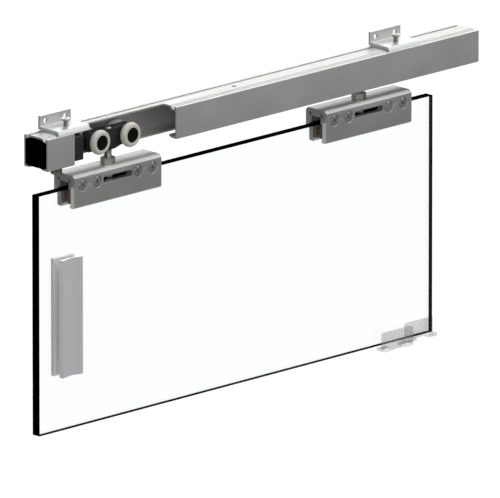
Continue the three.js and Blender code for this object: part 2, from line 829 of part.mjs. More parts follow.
function clampScrewCutters(clampStart, y0, y1) {
  return clampScrewOffsets.map((offset) =>
    solid(
      rod(
        "y",
        CLAMP_SCREW_DIAMETER / 2 + SEAT_GAP,
        y0,
        y1,
        clampStart + offset,
        windowZ,
        SMALL_SIDES,
      ),
    ),
  );
}

// Countersinks that the clamp screws' heads sit in.
function countersinks(clampStart) {
  const head = CLAMP_SCREW_HEAD_DIAMETER / 2 + SEAT_GAP;
  const shank = CLAMP_SCREW_DIAMETER / 2 + SEAT_GAP;
  const rim = clampFront + CLAMP_SCREW_SINK + SEAT_GAP;
  return clampScrewOffsets.map((offset) =>
    solid(
      turned(
        [
          [0, clampFront - OVERRUN],
          [head, clampFront - OVERRUN],
          [head, rim],
          [shank, rim + CLAMP_SCREW_CONE],
          [0, rim + CLAMP_SCREW_CONE],
        ],
        "y",
        clampStart + offset,
        0,
        windowZ,
        ROUND_SIDES,
      ),
    ),
  );
}

function makeJaw(clampStart, x) {
  const profile = solid(alongX(jawSection(), clampStart, clampStart + CLAMP_LENGTH));
  return geometryOf(
    cut(
      profile,
      windowCutter(x, clampFront - OVERRUN, jawInner + OVERRUN),
      ...clampScrewCutters(clampStart, clampFront - OVERRUN, jawInner + OVERRUN),
      ...countersinks(clampStart),
    ),
  );
}

function makeClampBody(clampStart, x) {
  const end = clampStart + CLAMP_LENGTH;
  const screwEnd = clampFront + CLAMP_SCREW_REACH + SEAT_GAP;
  const profile = solid(alongX(clampBodySection(), clampStart, end));
  const portZ = clampTop - PORT_BELOW_TOP;
  const ports = [-1, 1].map((side) => {
    const y = midY + side * PORT_OFFSET;
    const radius = PORT_DIAMETER / 2;
    const section = new THREE.Shape();
    section.absarc(y, portZ, radius, 0, 2 * Math.PI);
    const circle = outline(section.getPoints(SMALL_SIDES / 2).slice(0, -1).map((p) => [p.x, p.y]));
    return solid(alongX(circle, clampStart - OVERRUN, end + OVERRUN));
  });
  const boltHole = rod(
    "z",
    BOLT_DIAMETER / 2 + 2 * SEAT_GAP,
    channelTop - OVERRUN,
    clampTop + OVERRUN,
    x,
    midY,
    ROUND_SIDES,
  );
  const recessHalf = NUT_RECESS_WIDTH / 2;
  const recessShape = new THREE.Shape();
  recessShape.moveTo(x + recessHalf, clampBack + OVERRUN);
  recessShape.lineTo(x - recessHalf, clampBack + OVERRUN);
  recessShape.absarc(x, midY, recessHalf, Math.PI, 2 * Math.PI);
  const recessOutline = outline(recessShape.getPoints(ARC_STEPS).map((p) => [p.x, p.y]));
  const recess = solid(alongZ(recessOutline, clampTop - NUT_RECESS_DEPTH, clampTop + OVERRUN));
  return geometryOf(
    cut(
      profile,
      windowCutter(x, jawInner, midY),
      ...clampScrewCutters(clampStart, jawInner, screwEnd),
      ...ports,
      solid(boltHole),
      recess,
    ),
  );
}

function makeClampScrew(x) {
  const faceY = clampFront + CLAMP_SCREW_SINK;
  const head = CLAMP_SCREW_HEAD_DIAMETER / 2;
  const shank = CLAMP_SCREW_DIAMETER / 2;
  const body = turned(
    [
      [0, faceY],
      [head, faceY],
      [shank, faceY + CLAMP_SCREW_CONE],
      [shank, clampFront + CLAMP_SCREW_REACH],
      [0, clampFront + CLAMP_SCREW_REACH],
    ],
    "y",
    x,
    0,
    windowZ,
    SMALL_SIDES,
  );
  const socket = hexBar(
    "y",
    CLAMP_SCREW_SOCKET_FLATS,
    faceY - OVERRUN,
    faceY + CLAMP_SCREW_SOCKET_DEPTH,
    x,
    windowZ,
  );
  return geometryOf(cut(solid(body), solid(socket)));
}

function makeGasket(clampStart, front) {
  const top = glassTop - GASKET_TOP_GAP;
  const bottom = clampBottom + JAW_FOOT_HEIGHT + SEAT_GAP;
  const y = front ? jawInner + SEAT_GAP : glassBack + SEAT_GAP;
  return block(clampStart, clampStart + CLAMP_LENGTH, y, y + GASKET_THICKNESS, bottom, top);
}

for (const [side, x] of Object.entries(carriages)) {
  const clampStart = x - CLAMP_LENGTH / 2;
  addPart(`clamp_body_${side}`, makeClampBody(clampStart, x), {
    color: 0x8a8a86,
    roughness: 0.4,
    metalness: 0.9,
  });
  addPart(`clamp_jaw_${side}`, makeJaw(clampStart, x), {
    color: 0x8b8a84,
    roughness: 0.4,
    metalness: 0.9,
  });
  addPart(`clamp_gasket_${side}_front`, makeGasket(clampStart, true), {
    color: 0x6f655b,
    roughness: 0.8,
  });
  addPart(`clamp_gasket_${side}_rear`, makeGasket(clampStart, false), {
    color: 0x6f655b,
    roughness: 0.8,
  });
  clampScrewOffsets.forEach((offset, index) => {
    addPart(`clamp_screw_${side}_${index + 1}`, makeClampScrew(clampStart + offset), {
      color: 0x9a9892,
      roughness: 0.3,
      metalness: 1,
    });
  });
}

// ---------------------------------------------------------------- glass panel

addPart(
  "glass_panel",
  block(glassLeft, glassRight, glassFront, glassBack, glassBottom, glassTop),
  { color: 0xf4f8f8, roughness: 0.03, transparent: true, opacity: 0.25 },
);

// ---------------------------------------------------------------- pull grips

// Section of a grip: depth grows from the bonded face; the scoop leans towards the far rim.
function gripSection(x, back, outwards) {
  const scoopStart = GRIP_FAR_RIM;
  const scoopEnd = GRIP_WIDTH - GRIP_RIM;
  const scoop = Array.from({ length: ARC_STEPS + 1 }, (_, step) => {
    const share = step / ARC_STEPS;
    const depth = GRIP_SCOOP * Math.sin(Math.PI * share ** GRIP_SCOOP_LEAN);
    return [scoopStart + (scoopEnd - scoopStart) * share, GRIP_THICKNESS - depth];
  });
  const profile = [
    [0, 0],
    [GRIP_WIDTH, 0],
    [GRIP_WIDTH, GRIP_THICKNESS],
    ...scoop.reverse(),
    [0, GRIP_THICKNESS],
  ];
  return outline(profile.map(([across, depth]) => [x + across, back + outwards * depth]));
}

for (const [face, outwards] of Object.entries({ front: -1, rear: 1 })) {
  const glassFace = outwards < 0 ? glassFront : glassBack;
  const padNear = glassFace + outwards * SEAT_GAP;
  const padFar = padNear + outwards * PAD_THICKNESS;
  const gripBack = padFar + outwards * SEAT_GAP;
  const x = glassLeft + GRIP_FROM_EDGE;
  const top = glassTop - GRIP_BELOW_GLASS_TOP;
  const bottom = top - GRIP_HEIGHT;
  addPart(
    `pull_grip_${face}`,
    alongZ(gripSection(x, gripBack, outwards), bottom, top),
    { color: 0xe6e8ea, roughness: 0.3, metalness: 0.7 },
  );
  addPart(
    `grip_pad_${face}`,
    block(
      x + PAD_MARGIN,
      x + GRIP_WIDTH - PAD_MARGIN,
      Math.min(padNear, padFar),
      Math.max(padNear, padFar),
      bottom + PAD_MARGIN,
      top - PAD_MARGIN,
    ),
    { color: 0xd9dadb, roughness: 0.7 },
  );
}

// ---------------------------------------------------------------- floor guides

// A clear upright plate on two small feet that reach under the glass.
function makeGuide(x, outwards) {
  const glassFace = outwards < 0 ? glassFront : glassBack;
  const plateNear = glassFace + outwards * GUIDE_GLASS_GAP;
  const plateFar = plateNear + outwards * GUIDE_PLATE;
  const footFar = plateFar + outwards * GUIDE_FOOT_OVERHANG;
  const footNear = footFar - outwards * GUIDE_FOOT;
  const top = glassBottom + GUIDE_OVER_GLASS;
  const floor = top - GUIDE_HEIGHT;
  const [plateY0, plateY1] = [plateNear, plateFar].sort((a, b) => a - b);
  const [footY0, footY1] = [footNear, footFar].sort((a, b) => a - b);
  const corner = GUIDE_CORNER;
  const upright = [
    [x, floor],
    [x + GUIDE_LENGTH, floor],
    [x + GUIDE_LENGTH, top - corner],
    [x + GUIDE_LENGTH - corner, top],
    [x + corner, top],
    [x, top - corner],
  ];
  const plate = solid(alongY(outline(upright), plateY0, plateY1));
  const footStarts = [x, x + GUIDE_LENGTH - GUIDE_FOOT];
  const feet = footStarts.map((start) =>
    solid(
      alongZ(
        roundedRectangle(start, start + GUIDE_FOOT, footY0, footY1, GUIDE_FOOT_CORNER),
        floor,
        floor + GUIDE_FOOT_THICKNESS,
      ),
    ),
  );
  const holeY = (footNear + plateNear) / 2;
  const holes = footStarts.map((start) =>
    solid(
      rod(
        "z",
        GUIDE_HOLE_DIAMETER / 2,
        floor - OVERRUN,
        floor + GUIDE_FOOT_THICKNESS + OVERRUN,
        start + GUIDE_FOOT / 2,
        holeY,
        SMALL_SIDES,
      ),
    ),
  );
  return geometryOf(cut(join(plate, ...feet), ...holes));
}

const guideStart = glassRight - GUIDE_FROM_GLASS_EDGE;
const guideFinish = { color: 0xdfe2e2, roughness: 0.15, transparent: true, opacity: 0.5 };
addPart("floor_guide_front", makeGuide(guideStart, -1), guideFinish);
addPart("floor_guide_rear", makeGuide(guideStart + GUIDE_LENGTH + SEAT_GAP, 1), guideFinish);

export default assembly;
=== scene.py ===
# %% [markdown]
# # Sliding glass door hardware
#
# A short glass door hangs from two four-wheel carriages that roll inside an aluminium rail.
# The rail is held on the wall by two brackets, and its front is cut away at the left end so
# that the running gear shows. This lesson dresses the working CAD model: every piece keeps
# the place and the size that the frame gives, and gets finer shapes and real finishes.

import math

import bmesh
import bpy
from mathutils import Matrix, Vector


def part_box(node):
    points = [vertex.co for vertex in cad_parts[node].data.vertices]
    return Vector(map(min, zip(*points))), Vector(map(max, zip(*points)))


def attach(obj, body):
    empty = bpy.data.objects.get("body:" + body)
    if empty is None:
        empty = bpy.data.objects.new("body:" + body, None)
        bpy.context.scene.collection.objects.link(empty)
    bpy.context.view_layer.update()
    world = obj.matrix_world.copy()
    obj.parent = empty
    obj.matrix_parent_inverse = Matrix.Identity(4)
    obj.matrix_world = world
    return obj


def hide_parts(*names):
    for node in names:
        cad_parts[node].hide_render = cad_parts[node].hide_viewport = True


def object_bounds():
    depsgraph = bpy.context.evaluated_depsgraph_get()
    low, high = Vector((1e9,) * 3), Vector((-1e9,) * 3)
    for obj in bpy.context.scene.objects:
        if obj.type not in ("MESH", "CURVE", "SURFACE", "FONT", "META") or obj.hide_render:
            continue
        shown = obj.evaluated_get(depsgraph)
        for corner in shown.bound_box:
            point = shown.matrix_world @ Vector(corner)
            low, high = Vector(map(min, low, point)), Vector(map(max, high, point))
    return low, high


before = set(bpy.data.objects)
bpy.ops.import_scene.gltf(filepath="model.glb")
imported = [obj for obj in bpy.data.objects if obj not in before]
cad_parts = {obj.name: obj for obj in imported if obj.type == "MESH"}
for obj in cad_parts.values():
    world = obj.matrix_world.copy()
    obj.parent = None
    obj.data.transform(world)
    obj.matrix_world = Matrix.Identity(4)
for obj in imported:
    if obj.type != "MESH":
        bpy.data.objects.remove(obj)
cad_low, cad_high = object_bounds()
print("CAD box:", [round(x, 4) for x in cad_high - cad_low])

# %% [markdown]
# Fitters measure this hardware from the rail, so the sizes below are written the same way:
# in millimetres along the rail, from its front face towards the wall, and up from its
# underside. `at` turns such a place into the frame's metres, and `span` reads where a CAD
# node is in the fitter's terms, so that no place has to be typed twice.

# %% Places
MM = 0.001
RAIL_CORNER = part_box("track_rail")[0]


def at(x, y, z):
    """A place in the frame, from mm along the rail, behind its face and above its underside."""
    return RAIL_CORNER + Vector((x, y, z)) * MM


def span(node):
    """A CAD node's lowest and highest corners in the rail's own millimetres."""
    low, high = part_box(node)
    return (low - RAIL_CORNER) / MM, (high - RAIL_CORNER) / MM


RAIL_LENGTH, RAIL_WIDTH, CROWN_TOP = span("track_rail")[1]
MID_Y = RAIL_WIDTH / 2
SIDES = ("left", "right")
print(f"rail {RAIL_LENGTH:.1f} x {RAIL_WIDTH:.1f} x {CROWN_TOP:.1f} mm")

# %% [markdown]
# ## Finishes
#
# Paint chips and finish cards are given as sRGB hex values, but a shader adds light up in
# linear values. One function converts, and one more adds a node with its settings and links,
# which keeps each finish down to what is special about it.

# %% Colour and node helpers


def linear(colour):
    """An sRGB colour such as "C0C4C8" as the linear RGBA that shaders use."""
    channels = [int(colour[i : i + 2], 16) / 255 for i in (0, 2, 4)]
    return [c / 12.92 if c <= 0.04045 else ((c + 0.055) / 1.055) ** 2.4 for c in channels] + [1.0]


def add(tree, kind, links=None, **settings):
    """Adds a node. links gives each input, by name or number, a value or another node's output."""
    made = tree.nodes.new(kind)
    for name, value in settings.items():
        setattr(made, name, value)
    for socket, value in (links or {}).items():
        if isinstance(value, bpy.types.NodeSocket):
            tree.links.new(value, made.inputs[socket])
        else:
            made.inputs[socket].default_value = value
    return made


print("aluminium grey in linear light:", [round(c, 3) for c in linear("93908A")])

# %% [markdown]
# Almost every surface here is one material whose making left a grain: a die drags lines
# along an extrusion, spark erosion pits a mould, a lathe rings a screw. So one function
# lays a noise of a real size over a Principled shader. The fine grain moves colour,
# roughness and height together, as it does on the real thing, and a slow cloud some
# centimetres across keeps large faces from looking flat. Edges that stand proud are
# painted paler, partly as wear and partly as a painted highlight where edges catch the
# light, and pointiness finds them.

# %% A surface with grain
CLOUD_SIZE = 45  # mm, how far a batch of anodising or moulding drifts in tone
FLAT = 0.5  # pointiness of a flat surface
SHARP = 0.58  # pointiness of a small rounded edge


def finish(name, tones, roughness, grain, relief, edge_wear_and_highlight=None, **shader):
    """tones and roughness are pairs to swing between, grain is mm along X, Y and Z, relief is mm."""
    material = bpy.data.materials.new(name)
    material.use_nodes = True
    tree = material.node_tree
    surface = tree.nodes["Principled BSDF"]
    for socket, value in shader.items():
        surface.inputs[socket.replace("_", " ")].default_value = value
    place = add(tree, "ShaderNodeTexCoord").outputs["Object"]
    fine_place = add(tree, "ShaderNodeMapping", {"Vector": place, "Scale": [1 / (g * MM) for g in grain]})
    fine = add(tree, "ShaderNodeTexNoise", {"Vector": fine_place.outputs[0], "Scale": 1.0, "Detail": 3.0})
    slow = add(tree, "ShaderNodeTexNoise", {"Vector": place, "Scale": 1 / (CLOUD_SIZE * MM)})
    both = add(
        tree,
        "ShaderNodeMix",
        {0: 0.5, 2: fine.outputs["Fac"], 3: slow.outputs["Fac"]},
        data_type="FLOAT",
    )
    tone = add(
        tree,
        "ShaderNodeMix",
        {0: both.outputs[0], 6: linear(tones[0]), 7: linear(tones[1])},
        data_type="RGBA",
    ).outputs[2]
    # Paler colour on sharp edges: partly wear, partly a painted highlight where edges catch the light.
    if edge_wear_and_highlight:
        geometry = add(tree, "ShaderNodeNewGeometry")
        edge = add(
            tree,
            "ShaderNodeMapRange",
            {"Value": geometry.outputs["Pointiness"], "From Min": FLAT, "From Max": SHARP},
        )
        patchy = add(tree, "ShaderNodeMath", {0: edge.outputs[0], 1: both.outputs[0]}, operation="MULTIPLY")
        tone = add(
            tree,
            "ShaderNodeMix",
            {0: patchy.outputs[0], 6: tone, 7: linear(edge_wear_and_highlight)},
            data_type="RGBA",
        ).outputs[2]
    gloss = add(
        tree,
        "ShaderNodeMapRange",
        {"Value": both.outputs[0], "To Min": roughness[0], "To Max": roughness[1]},
    )
    bump = add(
        tree,
        "ShaderNodeBump",
        {"Height": fine.outputs["Fac"], "Distance": relief * MM, "Strength": 1.0},
    )
    tree.links.new(tone, surface.inputs["Base Color"])
    tree.links.new(gloss.outputs[0], surface.inputs["Roughness"])
    tree.links.new(bump.outputs["Normal"], surface.inputs["Normal"])
    return material


print("grain helper ready")

# %% [markdown]
# The rail, brackets, clamps and grips are all extruded aluminium, anodised after etching.
# The die leaves hair lines along the length, about a third of a millimetre apart, and the
# etch turns the shine to satin. Only the direction of the lines and the tone change from
# piece to piece: the clamps are a shade darker, which is painted shade for the rail's
# shadow and its dark reflection on them, the brackets are paler, which is a painted
# highlight for the bright reflection on their leaning hooks, and the grips are bright.

# %% Anodised aluminium
LINE = 0.35  # mm between die lines, drawn a little coarser than real so that they show
LINE_RUN = 90  # mm that one die line stays the same


def anodised(name, tones, roughness, along="x", metallic=0.6):
    """Satin anodised extrusion whose die lines run along one axis: long soft streaks.

    The oxide film scatters a share of the light, so the metal is mixed with a pale matt base.
    """
    grain = [LINE_RUN if axis == along else LINE for axis in "xyz"]
    return finish(name, tones, roughness, grain, 0.004, edge_wear_and_highlight="F4F6F8", Metallic=metallic)


rail_aluminium = anodised("rail satin anodised aluminium", ("BAB8B4", "C9C7C3"), (0.38, 0.5))
# The brackets' paler tones are a painted highlight for the bright reflection on their leaning hooks.
bracket_aluminium = anodised("bracket satin anodised aluminium", ("DCDDDC", "E8E9E8"), (0.36, 0.48))
# The clamps' darker tones are painted shade for the rail's shadow and its dark reflection on them.
clamp_aluminium = anodised("clamp grey anodised aluminium", ("9E9C97", "B0AEA9"), (0.36, 0.48))
grip_aluminium = anodised(
    "grip bright anodised aluminium", ("F0F1F2", "FAFAFA"), (0.4, 0.5), along="z", metallic=0.2
)
for made in (rail_aluminium, bracket_aluminium, clamp_aluminium, grip_aluminium):
    print("anodised finish:", made.name)

# %% [markdown]
# Fasteners are steel. Bright zinc plate is nearly a mirror with a faint crystalline haze;
# the stop screws and bracket screws are passivated, which gives a warm brown-grey film,
# and the stop screws are made much darker than that, which is painted shade with the
# dark brown of what they reflect under the rail's end. The axles are ground pins, the
# smoothest metal in the set.

# %% Steel
FASTENER_GRAIN = [0.4, 0.4, 0.4]  # mm, the plating's own speckle
AXLE_GRAIN = [0.15, 6, 0.15]  # mm, grinding marks round a pin


def plated(name, tones, roughness, grain=None):
    """Plated steel: a tight metallic shine, broken by fine speckle, and paler on the corners as wear and a
    painted highlight.
    """
    return finish(name, tones, roughness, grain or FASTENER_GRAIN, 0.006, edge_wear_and_highlight="E9E6E0", Metallic=1.0)


bolt_steel = plated("bolt bright zinc plated steel", ("A9ABAC", "C6C8CA"), (0.22, 0.34))
nut_steel = plated("nut bright zinc plated steel", ("B4AFAB", "CBC6C2"), (0.24, 0.36))
clamp_screw_steel = plated("clamp screw nickel plated steel", ("A4A29D", "C2C0BB"), (0.2, 0.32))
bracket_screw_steel = plated("bracket screw passivated steel", ("8A8078", "A2978E"), (0.28, 0.4))
# Darker than the bracket screws' film: painted shade with a painted dark brown reflection.
stop_screw_steel = plated("stop screw passivated steel", ("5C534B", "776C62"), (0.32, 0.46))
axle_steel = plated("axle ground steel", ("B8BABC", "C8CACC"), (0.16, 0.26), grain=AXLE_GRAIN)
print("steel finishes:", 6)

# %% [markdown]
# The tyres are cast nylon, ivory and slightly waxy, so a little light goes in and spreads:
# that is subsurface scattering with a reach of a millimetre or two. Hubs, chassis and end
# stops are black glass-filled nylon from a spark-eroded mould, pitted about half a
# millimetre across. The buffers and gaskets are rubber: no clear highlight at all.

# %% Plastics and rubber
PITS = [0.6, 0.6, 0.6]  # mm, the mould's spark erosion

tyre_nylon = finish(
    "tyre cast nylon",
    ("E4DED4", "F1ECE4"),
    (0.3, 0.42),
    [0.9, 0.9, 0.9],
    0.01,
    Subsurface_Weight=0.25,
    Subsurface_Radius=(0.002, 0.0016, 0.0012),
    Subsurface_Scale=1.0,
    IOR=1.53,
)
hub_plastic = finish(
    "hub black nylon", ("020202", "050505"), (0.5, 0.62), PITS, 0.012, IOR=1.53, Specular_IOR_Level=0.15
)
# The chassis and stops also turn paler on sharp edges: partly wear, partly a painted highlight.
chassis_plastic = finish(
    "chassis glass filled nylon", ("121214", "1E1E21"), (0.4, 0.56), PITS, 0.02, edge_wear_and_highlight="3A3A3E", IOR=1.55
)
stop_plastic = finish(
    "end stop glass filled nylon", ("101012", "1B1B1E"), (0.42, 0.6), PITS, 0.02, edge_wear_and_highlight="36363A", IOR=1.55
)
buffer_rubber = finish("buffer rubber", ("1B1B1D", "29292B"), (0.72, 0.88), [0.5, 0.5, 0.5], 0.03, IOR=1.52)
gasket_rubber = finish("gasket rubber", ("4F473F", "6A6056"), (0.7, 0.86), [0.5, 0.5, 0.5], 0.03, IOR=1.52)
bonding_pad = finish(
    "bonding pad acrylic foam", ("D3D4D5", "E2E3E4"), (0.6, 0.78), [0.7, 0.7, 0.7], 0.03, IOR=1.49
)
print("plastics and rubber:", 7)

# %% [markdown]
# Float glass is clear through its faces, and bends what is seen through it. Its ground
# edges are given a near-black colour with a hint of green: a painted dark reflection,
# the dark rim that a pane shows in a dark surround, which these edges would not show
# by themselves in the white studio. Two materials share the one piece. Lamps have to
# reach what is behind the pane, so shadow rays pass straight through.

# %% Glass and clear plastic


def clear_glass():
    """Float glass: invisible but for a faint cool tint, its reflections and what it bends."""
    material = bpy.data.materials.new("door float glass")
    material.use_nodes = True
    tree = material.node_tree
    surface = tree.nodes["Principled BSDF"]
    surface.inputs["Base Color"].default_value = linear("FAFCFB")
    surface.inputs["Roughness"].default_value = 0.0
    surface.inputs["IOR"].default_value = 1.5
    surface.inputs["Transmission Weight"].default_value = 1.0
    passing = add(tree, "ShaderNodeBsdfTransparent")
    path = add(tree, "ShaderNodeLightPath")
    mixed = add(
        tree,
        "ShaderNodeMixShader",
        {0: path.outputs["Is Shadow Ray"], 1: surface.outputs[0], 2: passing.outputs[0]},
    )
    tree.links.new(mixed.outputs[0], tree.nodes["Material Output"].inputs["Surface"])
    return material


def clear_plastic():
    """Smoke-grey polycarbonate: a see-through sheet that dims what is behind it."""
    material = finish(
        "guide smoke polycarbonate", ("A8A9A8", "B8B9B8"), (0.12, 0.2), [2, 2, 2], 0.004, IOR=1.58
    )
    tree = material.node_tree
    passing = add(tree, "ShaderNodeBsdfTransparent")
    mixed = add(
        tree,
        "ShaderNodeMixShader",
        {0: 0.3, 1: passing.outputs[0], 2: tree.nodes["Principled BSDF"].outputs[0]},
    )
    tree.links.new(mixed.outputs[0], tree.nodes["Material Output"].inputs["Surface"])
    return material


door_glass = clear_glass()
# Near-black edge colour: a painted dark reflection of the glass rim.
glass_edge_painted_dark = finish(
    "door glass ground edge", ("030404", "070908"), (0.4, 0.6), [1.2, 1.2, 1.2], 0.01, Specular_IOR_Level=0.0
)
guide_plastic = clear_plastic()
print("clear finishes:", door_glass.name, "and", guide_plastic.name)

# %% [markdown]
# ## Making shapes
#
# An extrusion is a flat section pushed along a line, and Geometry Nodes can do exactly
# that: the piece starts as one flat face, Extrude Mesh pushes it, and a flipped copy of
# the face closes the far end. A bmesh loop could do the same, but the tree states the
# rule once, with the push and the material as named inputs, for all the extrusions here.

# %% Node tree helpers
GEOMETRY = "NodeSocketGeometry"


def new_tree(name, **inputs):
    """A geometry node tree with a geometry input and output and the named inputs, by socket kind."""
    tree = bpy.data.node_groups.new(name, "GeometryNodeTree")
    tree.interface.new_socket("Geometry", in_out="INPUT", socket_type=GEOMETRY)
    for label, kind in inputs.items():
        tree.interface.new_socket(label, in_out="INPUT", socket_type="NodeSocket" + kind)
    tree.interface.new_socket("Geometry", in_out="OUTPUT", socket_type=GEOMETRY)
    return tree, add(tree, "NodeGroupInput").outputs


def dressed(tree, geometry, material):
    """Ends a tree: instances made real, the material set, and the result sent out."""
    real = add(tree, "GeometryNodeRealizeInstances", {"Geometry": geometry})
    painted = add(tree, "GeometryNodeSetMaterial", {"Geometry": real.outputs[0], "Material": material})
    add(tree, "NodeGroupOutput", {"Geometry": painted.outputs[0]})
    return tree


def shown(name, mesh):
    """An object of this mesh, at the origin, in the scene."""
    piece = bpy.data.objects.new(name, mesh)
    piece.data.name = name
    bpy.context.scene.collection.objects.link(piece)
    return piece


def plain(piece):
    """Replaces a piece by what its modifiers make of it, as a plain mesh of one finish."""
    depsgraph = bpy.context.evaluated_depsgraph_get()
    mesh = bpy.data.meshes.new_from_object(piece.evaluated_get(depsgraph), depsgraph=depsgraph)
    piece.modifiers.clear()
    piece.data = mesh
    mesh.name = piece.name
    finishes = [material for material in mesh.materials if material]
    mesh.materials.clear()
    for material in finishes[:1]:
        mesh.materials.append(material)
    mesh.polygons.foreach_set("material_index", [0] * len(mesh.polygons))
    return piece


def grown(piece, tree, **values):
    """Runs a tree on a piece with values for its named inputs, and keeps the plain result."""
    modifier = piece.modifiers.new(tree.name, "NODES")
    modifier.node_group = tree
    for socket in tree.interface.items_tree:
        if socket.in_out == "INPUT" and socket.name in values:
            modifier[socket.identifier] = values[socket.name]
    return plain(piece)


print("tree helpers ready")

# %% The extrusion tree


def extrusion_tree():
    """Pushes a flat face along a vector and closes both ends."""
    tree, given = new_tree("extrusion", Push="Vector", Material="Material")
    pushed = add(
        tree,
        "GeometryNodeExtrudeMesh",
        {
            "Mesh": given["Geometry"],
            "Offset": given["Push"],
            "Offset Scale": 1.0,
            "Individual": False,
        },
        mode="FACES",
    )
    start = add(tree, "GeometryNodeFlipFaces", {"Mesh": given["Geometry"]})
    joined = add(tree, "GeometryNodeJoinGeometry", {0: pushed.outputs["Mesh"]})
    tree.links.new(start.outputs[0], joined.inputs[0])
    merged = add(tree, "GeometryNodeMergeByDistance", {"Geometry": joined.outputs[0], "Distance": 1e-6})
    return dressed(tree, merged.outputs[0], given["Material"])


EXTRUSION = extrusion_tree()
PLANES = {
    "x": lambda u, v, depth: at(depth, u, v),
    "y": lambda u, v, depth: at(u, depth, v),
    "z": lambda u, v, depth: at(u, v, depth),
}


def outwards(piece):
    """Merges doubles and turns every face outwards."""
    shape = bmesh.new()
    shape.from_mesh(piece.data)
    bmesh.ops.remove_doubles(shape, verts=shape.verts, dist=1e-7)
    bmesh.ops.recalc_face_normals(shape, faces=shape.faces)
    shape.to_mesh(piece.data)
    shape.free()
    return piece


def extruded(name, outline, axis, low, high, material):
    """An outline in the plane across an axis, pushed from low to high along it, all in mm."""
    place = PLANES[axis]
    corners = [place(u, v, low) for u, v in outline]
    mesh = bpy.data.meshes.new(name)
    mesh.from_pydata(corners, [], [range(len(corners))])
    push = place(0, 0, high) - place(0, 0, low)
    return outwards(grown(shown(name, mesh), EXTRUSION, Push=push, Material=material))


print("extrusion tree:", len(EXTRUSION.nodes), "nodes")

# %% [markdown]
# Extrusion dies and moulds never have knife-sharp corners. `softened` swaps each corner
# of an outline for a small curve, and a Bevel modifier does the same for the edges left
# by the saw and the drill. Hardened normals keep the flats flat in the light.

# %% Corners, cuts and bevels
CORNER_STEPS = 4
STRAIGHT = math.radians(20)  # turns smaller than this belong to a curve already


def softened(outline, radius):
    """A closed outline with its corners replaced by curves of about that radius."""
    soft = []
    for i, (u, v) in enumerate(outline):
        here = Vector((u, v))
        back = Vector(outline[i - 1]) - here
        ahead = Vector(outline[(i + 1) % len(outline)]) - here
        turn = math.pi - back.angle(ahead)
        if turn < STRAIGHT:
            soft.append((u, v))
            continue
        reach = min(radius * math.tan(turn / 2), 0.45 * back.length, 0.45 * ahead.length)
        start = here + back.normalized() * reach
        end = here + ahead.normalized() * reach
        for step in range(CORNER_STEPS + 1):
            t = step / CORNER_STEPS
            point = (1 - t) ** 2 * start + 2 * t * (1 - t) * here + t**2 * end
            soft.append(tuple(point))
    return soft


def oblong(u0, u1, v0, v1, radius):
    """A rectangle with round corners, as an outline."""
    points = []
    left, right, low, high = u0 + radius, u1 - radius, v0 + radius, v1 - radius
    for turn, (u, v) in enumerate([(right, high), (left, high), (left, low), (right, low)]):
        for step in range(3 * CORNER_STEPS + 1):
            angle = (turn + step / (3 * CORNER_STEPS)) * math.pi / 2
            points.append((u + radius * math.cos(angle), v + radius * math.sin(angle)))
    return points


def carved(piece, cutters, operation="DIFFERENCE"):
    """Cuts the cutters out of a piece, or joins or intersects them, and clears them away."""
    for cutter in cutters:
        step = piece.modifiers.new("carve", "BOOLEAN")
        step.operation = operation
        step.solver = "EXACT"
        step.object = cutter
    plain(piece)
    for cutter in cutters:
        bpy.data.objects.remove(cutter)
    return piece


def eased(piece, width, segments=2, degrees=40, clamp=False):
    """Rounds a piece's sharp edges by a Bevel modifier that stays on it, width in mm.

    A piece with edges shorter than the bevel needs clamp, or its corners shoot outwards.
    """
    piece.data.shade_smooth()
    bevel = piece.modifiers.new("eased edges", "BEVEL")
    bevel.width = width * MM
    bevel.segments = segments
    bevel.limit_method = "ANGLE"
    bevel.angle_limit = math.radians(degrees)
    bevel.use_clamp_overlap = clamp
    bevel.harden_normals = True
    return piece


print("a 10 x 10 outline softened:", len(softened([(0, 0), (10, 0), (10, 10), (0, 10)], 1)), "points")

# %% [markdown]
# Wheels, screws and pins come off a lathe, so they are made as a lathe makes them: half a
# section, turned. Each is modelled about its own upright axis with its seat at the origin,
# and set in place afterwards.

# %% The lathe
ROUND = 64
NO_PLACE = Vector((0, 0, 0))
AXIS_TURNS = {
    "x": Matrix.Rotation(math.pi / 2, 3, "Y"),
    "y": Matrix.Rotation(-math.pi / 2, 3, "X"),
    "z": Matrix.Identity(3),
}


def turned(name, profile, material, centre=NO_PLACE, axis="z", sides=ROUND):
    """A (radius, height) profile in mm turned about an axis. It ends on the axis, or is a ring."""
    upright = AXIS_TURNS[axis]
    shape = bmesh.new()
    rows = []
    for radius, height in profile:
        count = 1 if radius == 0 else sides
        angles = [2 * math.pi * (i / count) for i in range(count)]
        spots = [Vector((radius * math.cos(a), radius * math.sin(a), height)) * MM for a in angles]
        rows.append([shape.verts.new(upright @ spot + centre) for spot in spots])
    pairs = list(zip(rows, rows[1:]))
    if profile[0][0] > 0:
        pairs.append((rows[-1], rows[0]))
    for low, high in pairs:
        for i in range(sides):
            after = i + 1
            corners = [low[i % len(low)], low[after % len(low)], high[after % len(high)], high[i % len(high)]]
            shape.faces.new(dict.fromkeys(corners))
    bmesh.ops.recalc_face_normals(shape, faces=shape.faces)
    mesh = bpy.data.meshes.new(name)
    shape.to_mesh(mesh)
    shape.free()
    mesh.materials.append(material)
    piece = shown(name, mesh)
    creased(piece)
    return piece


def creased(piece, degrees=35):
    """Smooth shading that breaks at real edges."""
    piece.data.shade_smooth()
    piece.data.set_sharp_from_angle(angle=math.radians(degrees))
    return piece


def drill(radius, low, high, centre, axis="z"):
    """A plain cylinder to cut a hole with, from low to high along its axis in mm."""
    profile = [(0, low), (radius, low), (radius, high), (0, high)]
    return turned("drill", profile, None, centre, axis)


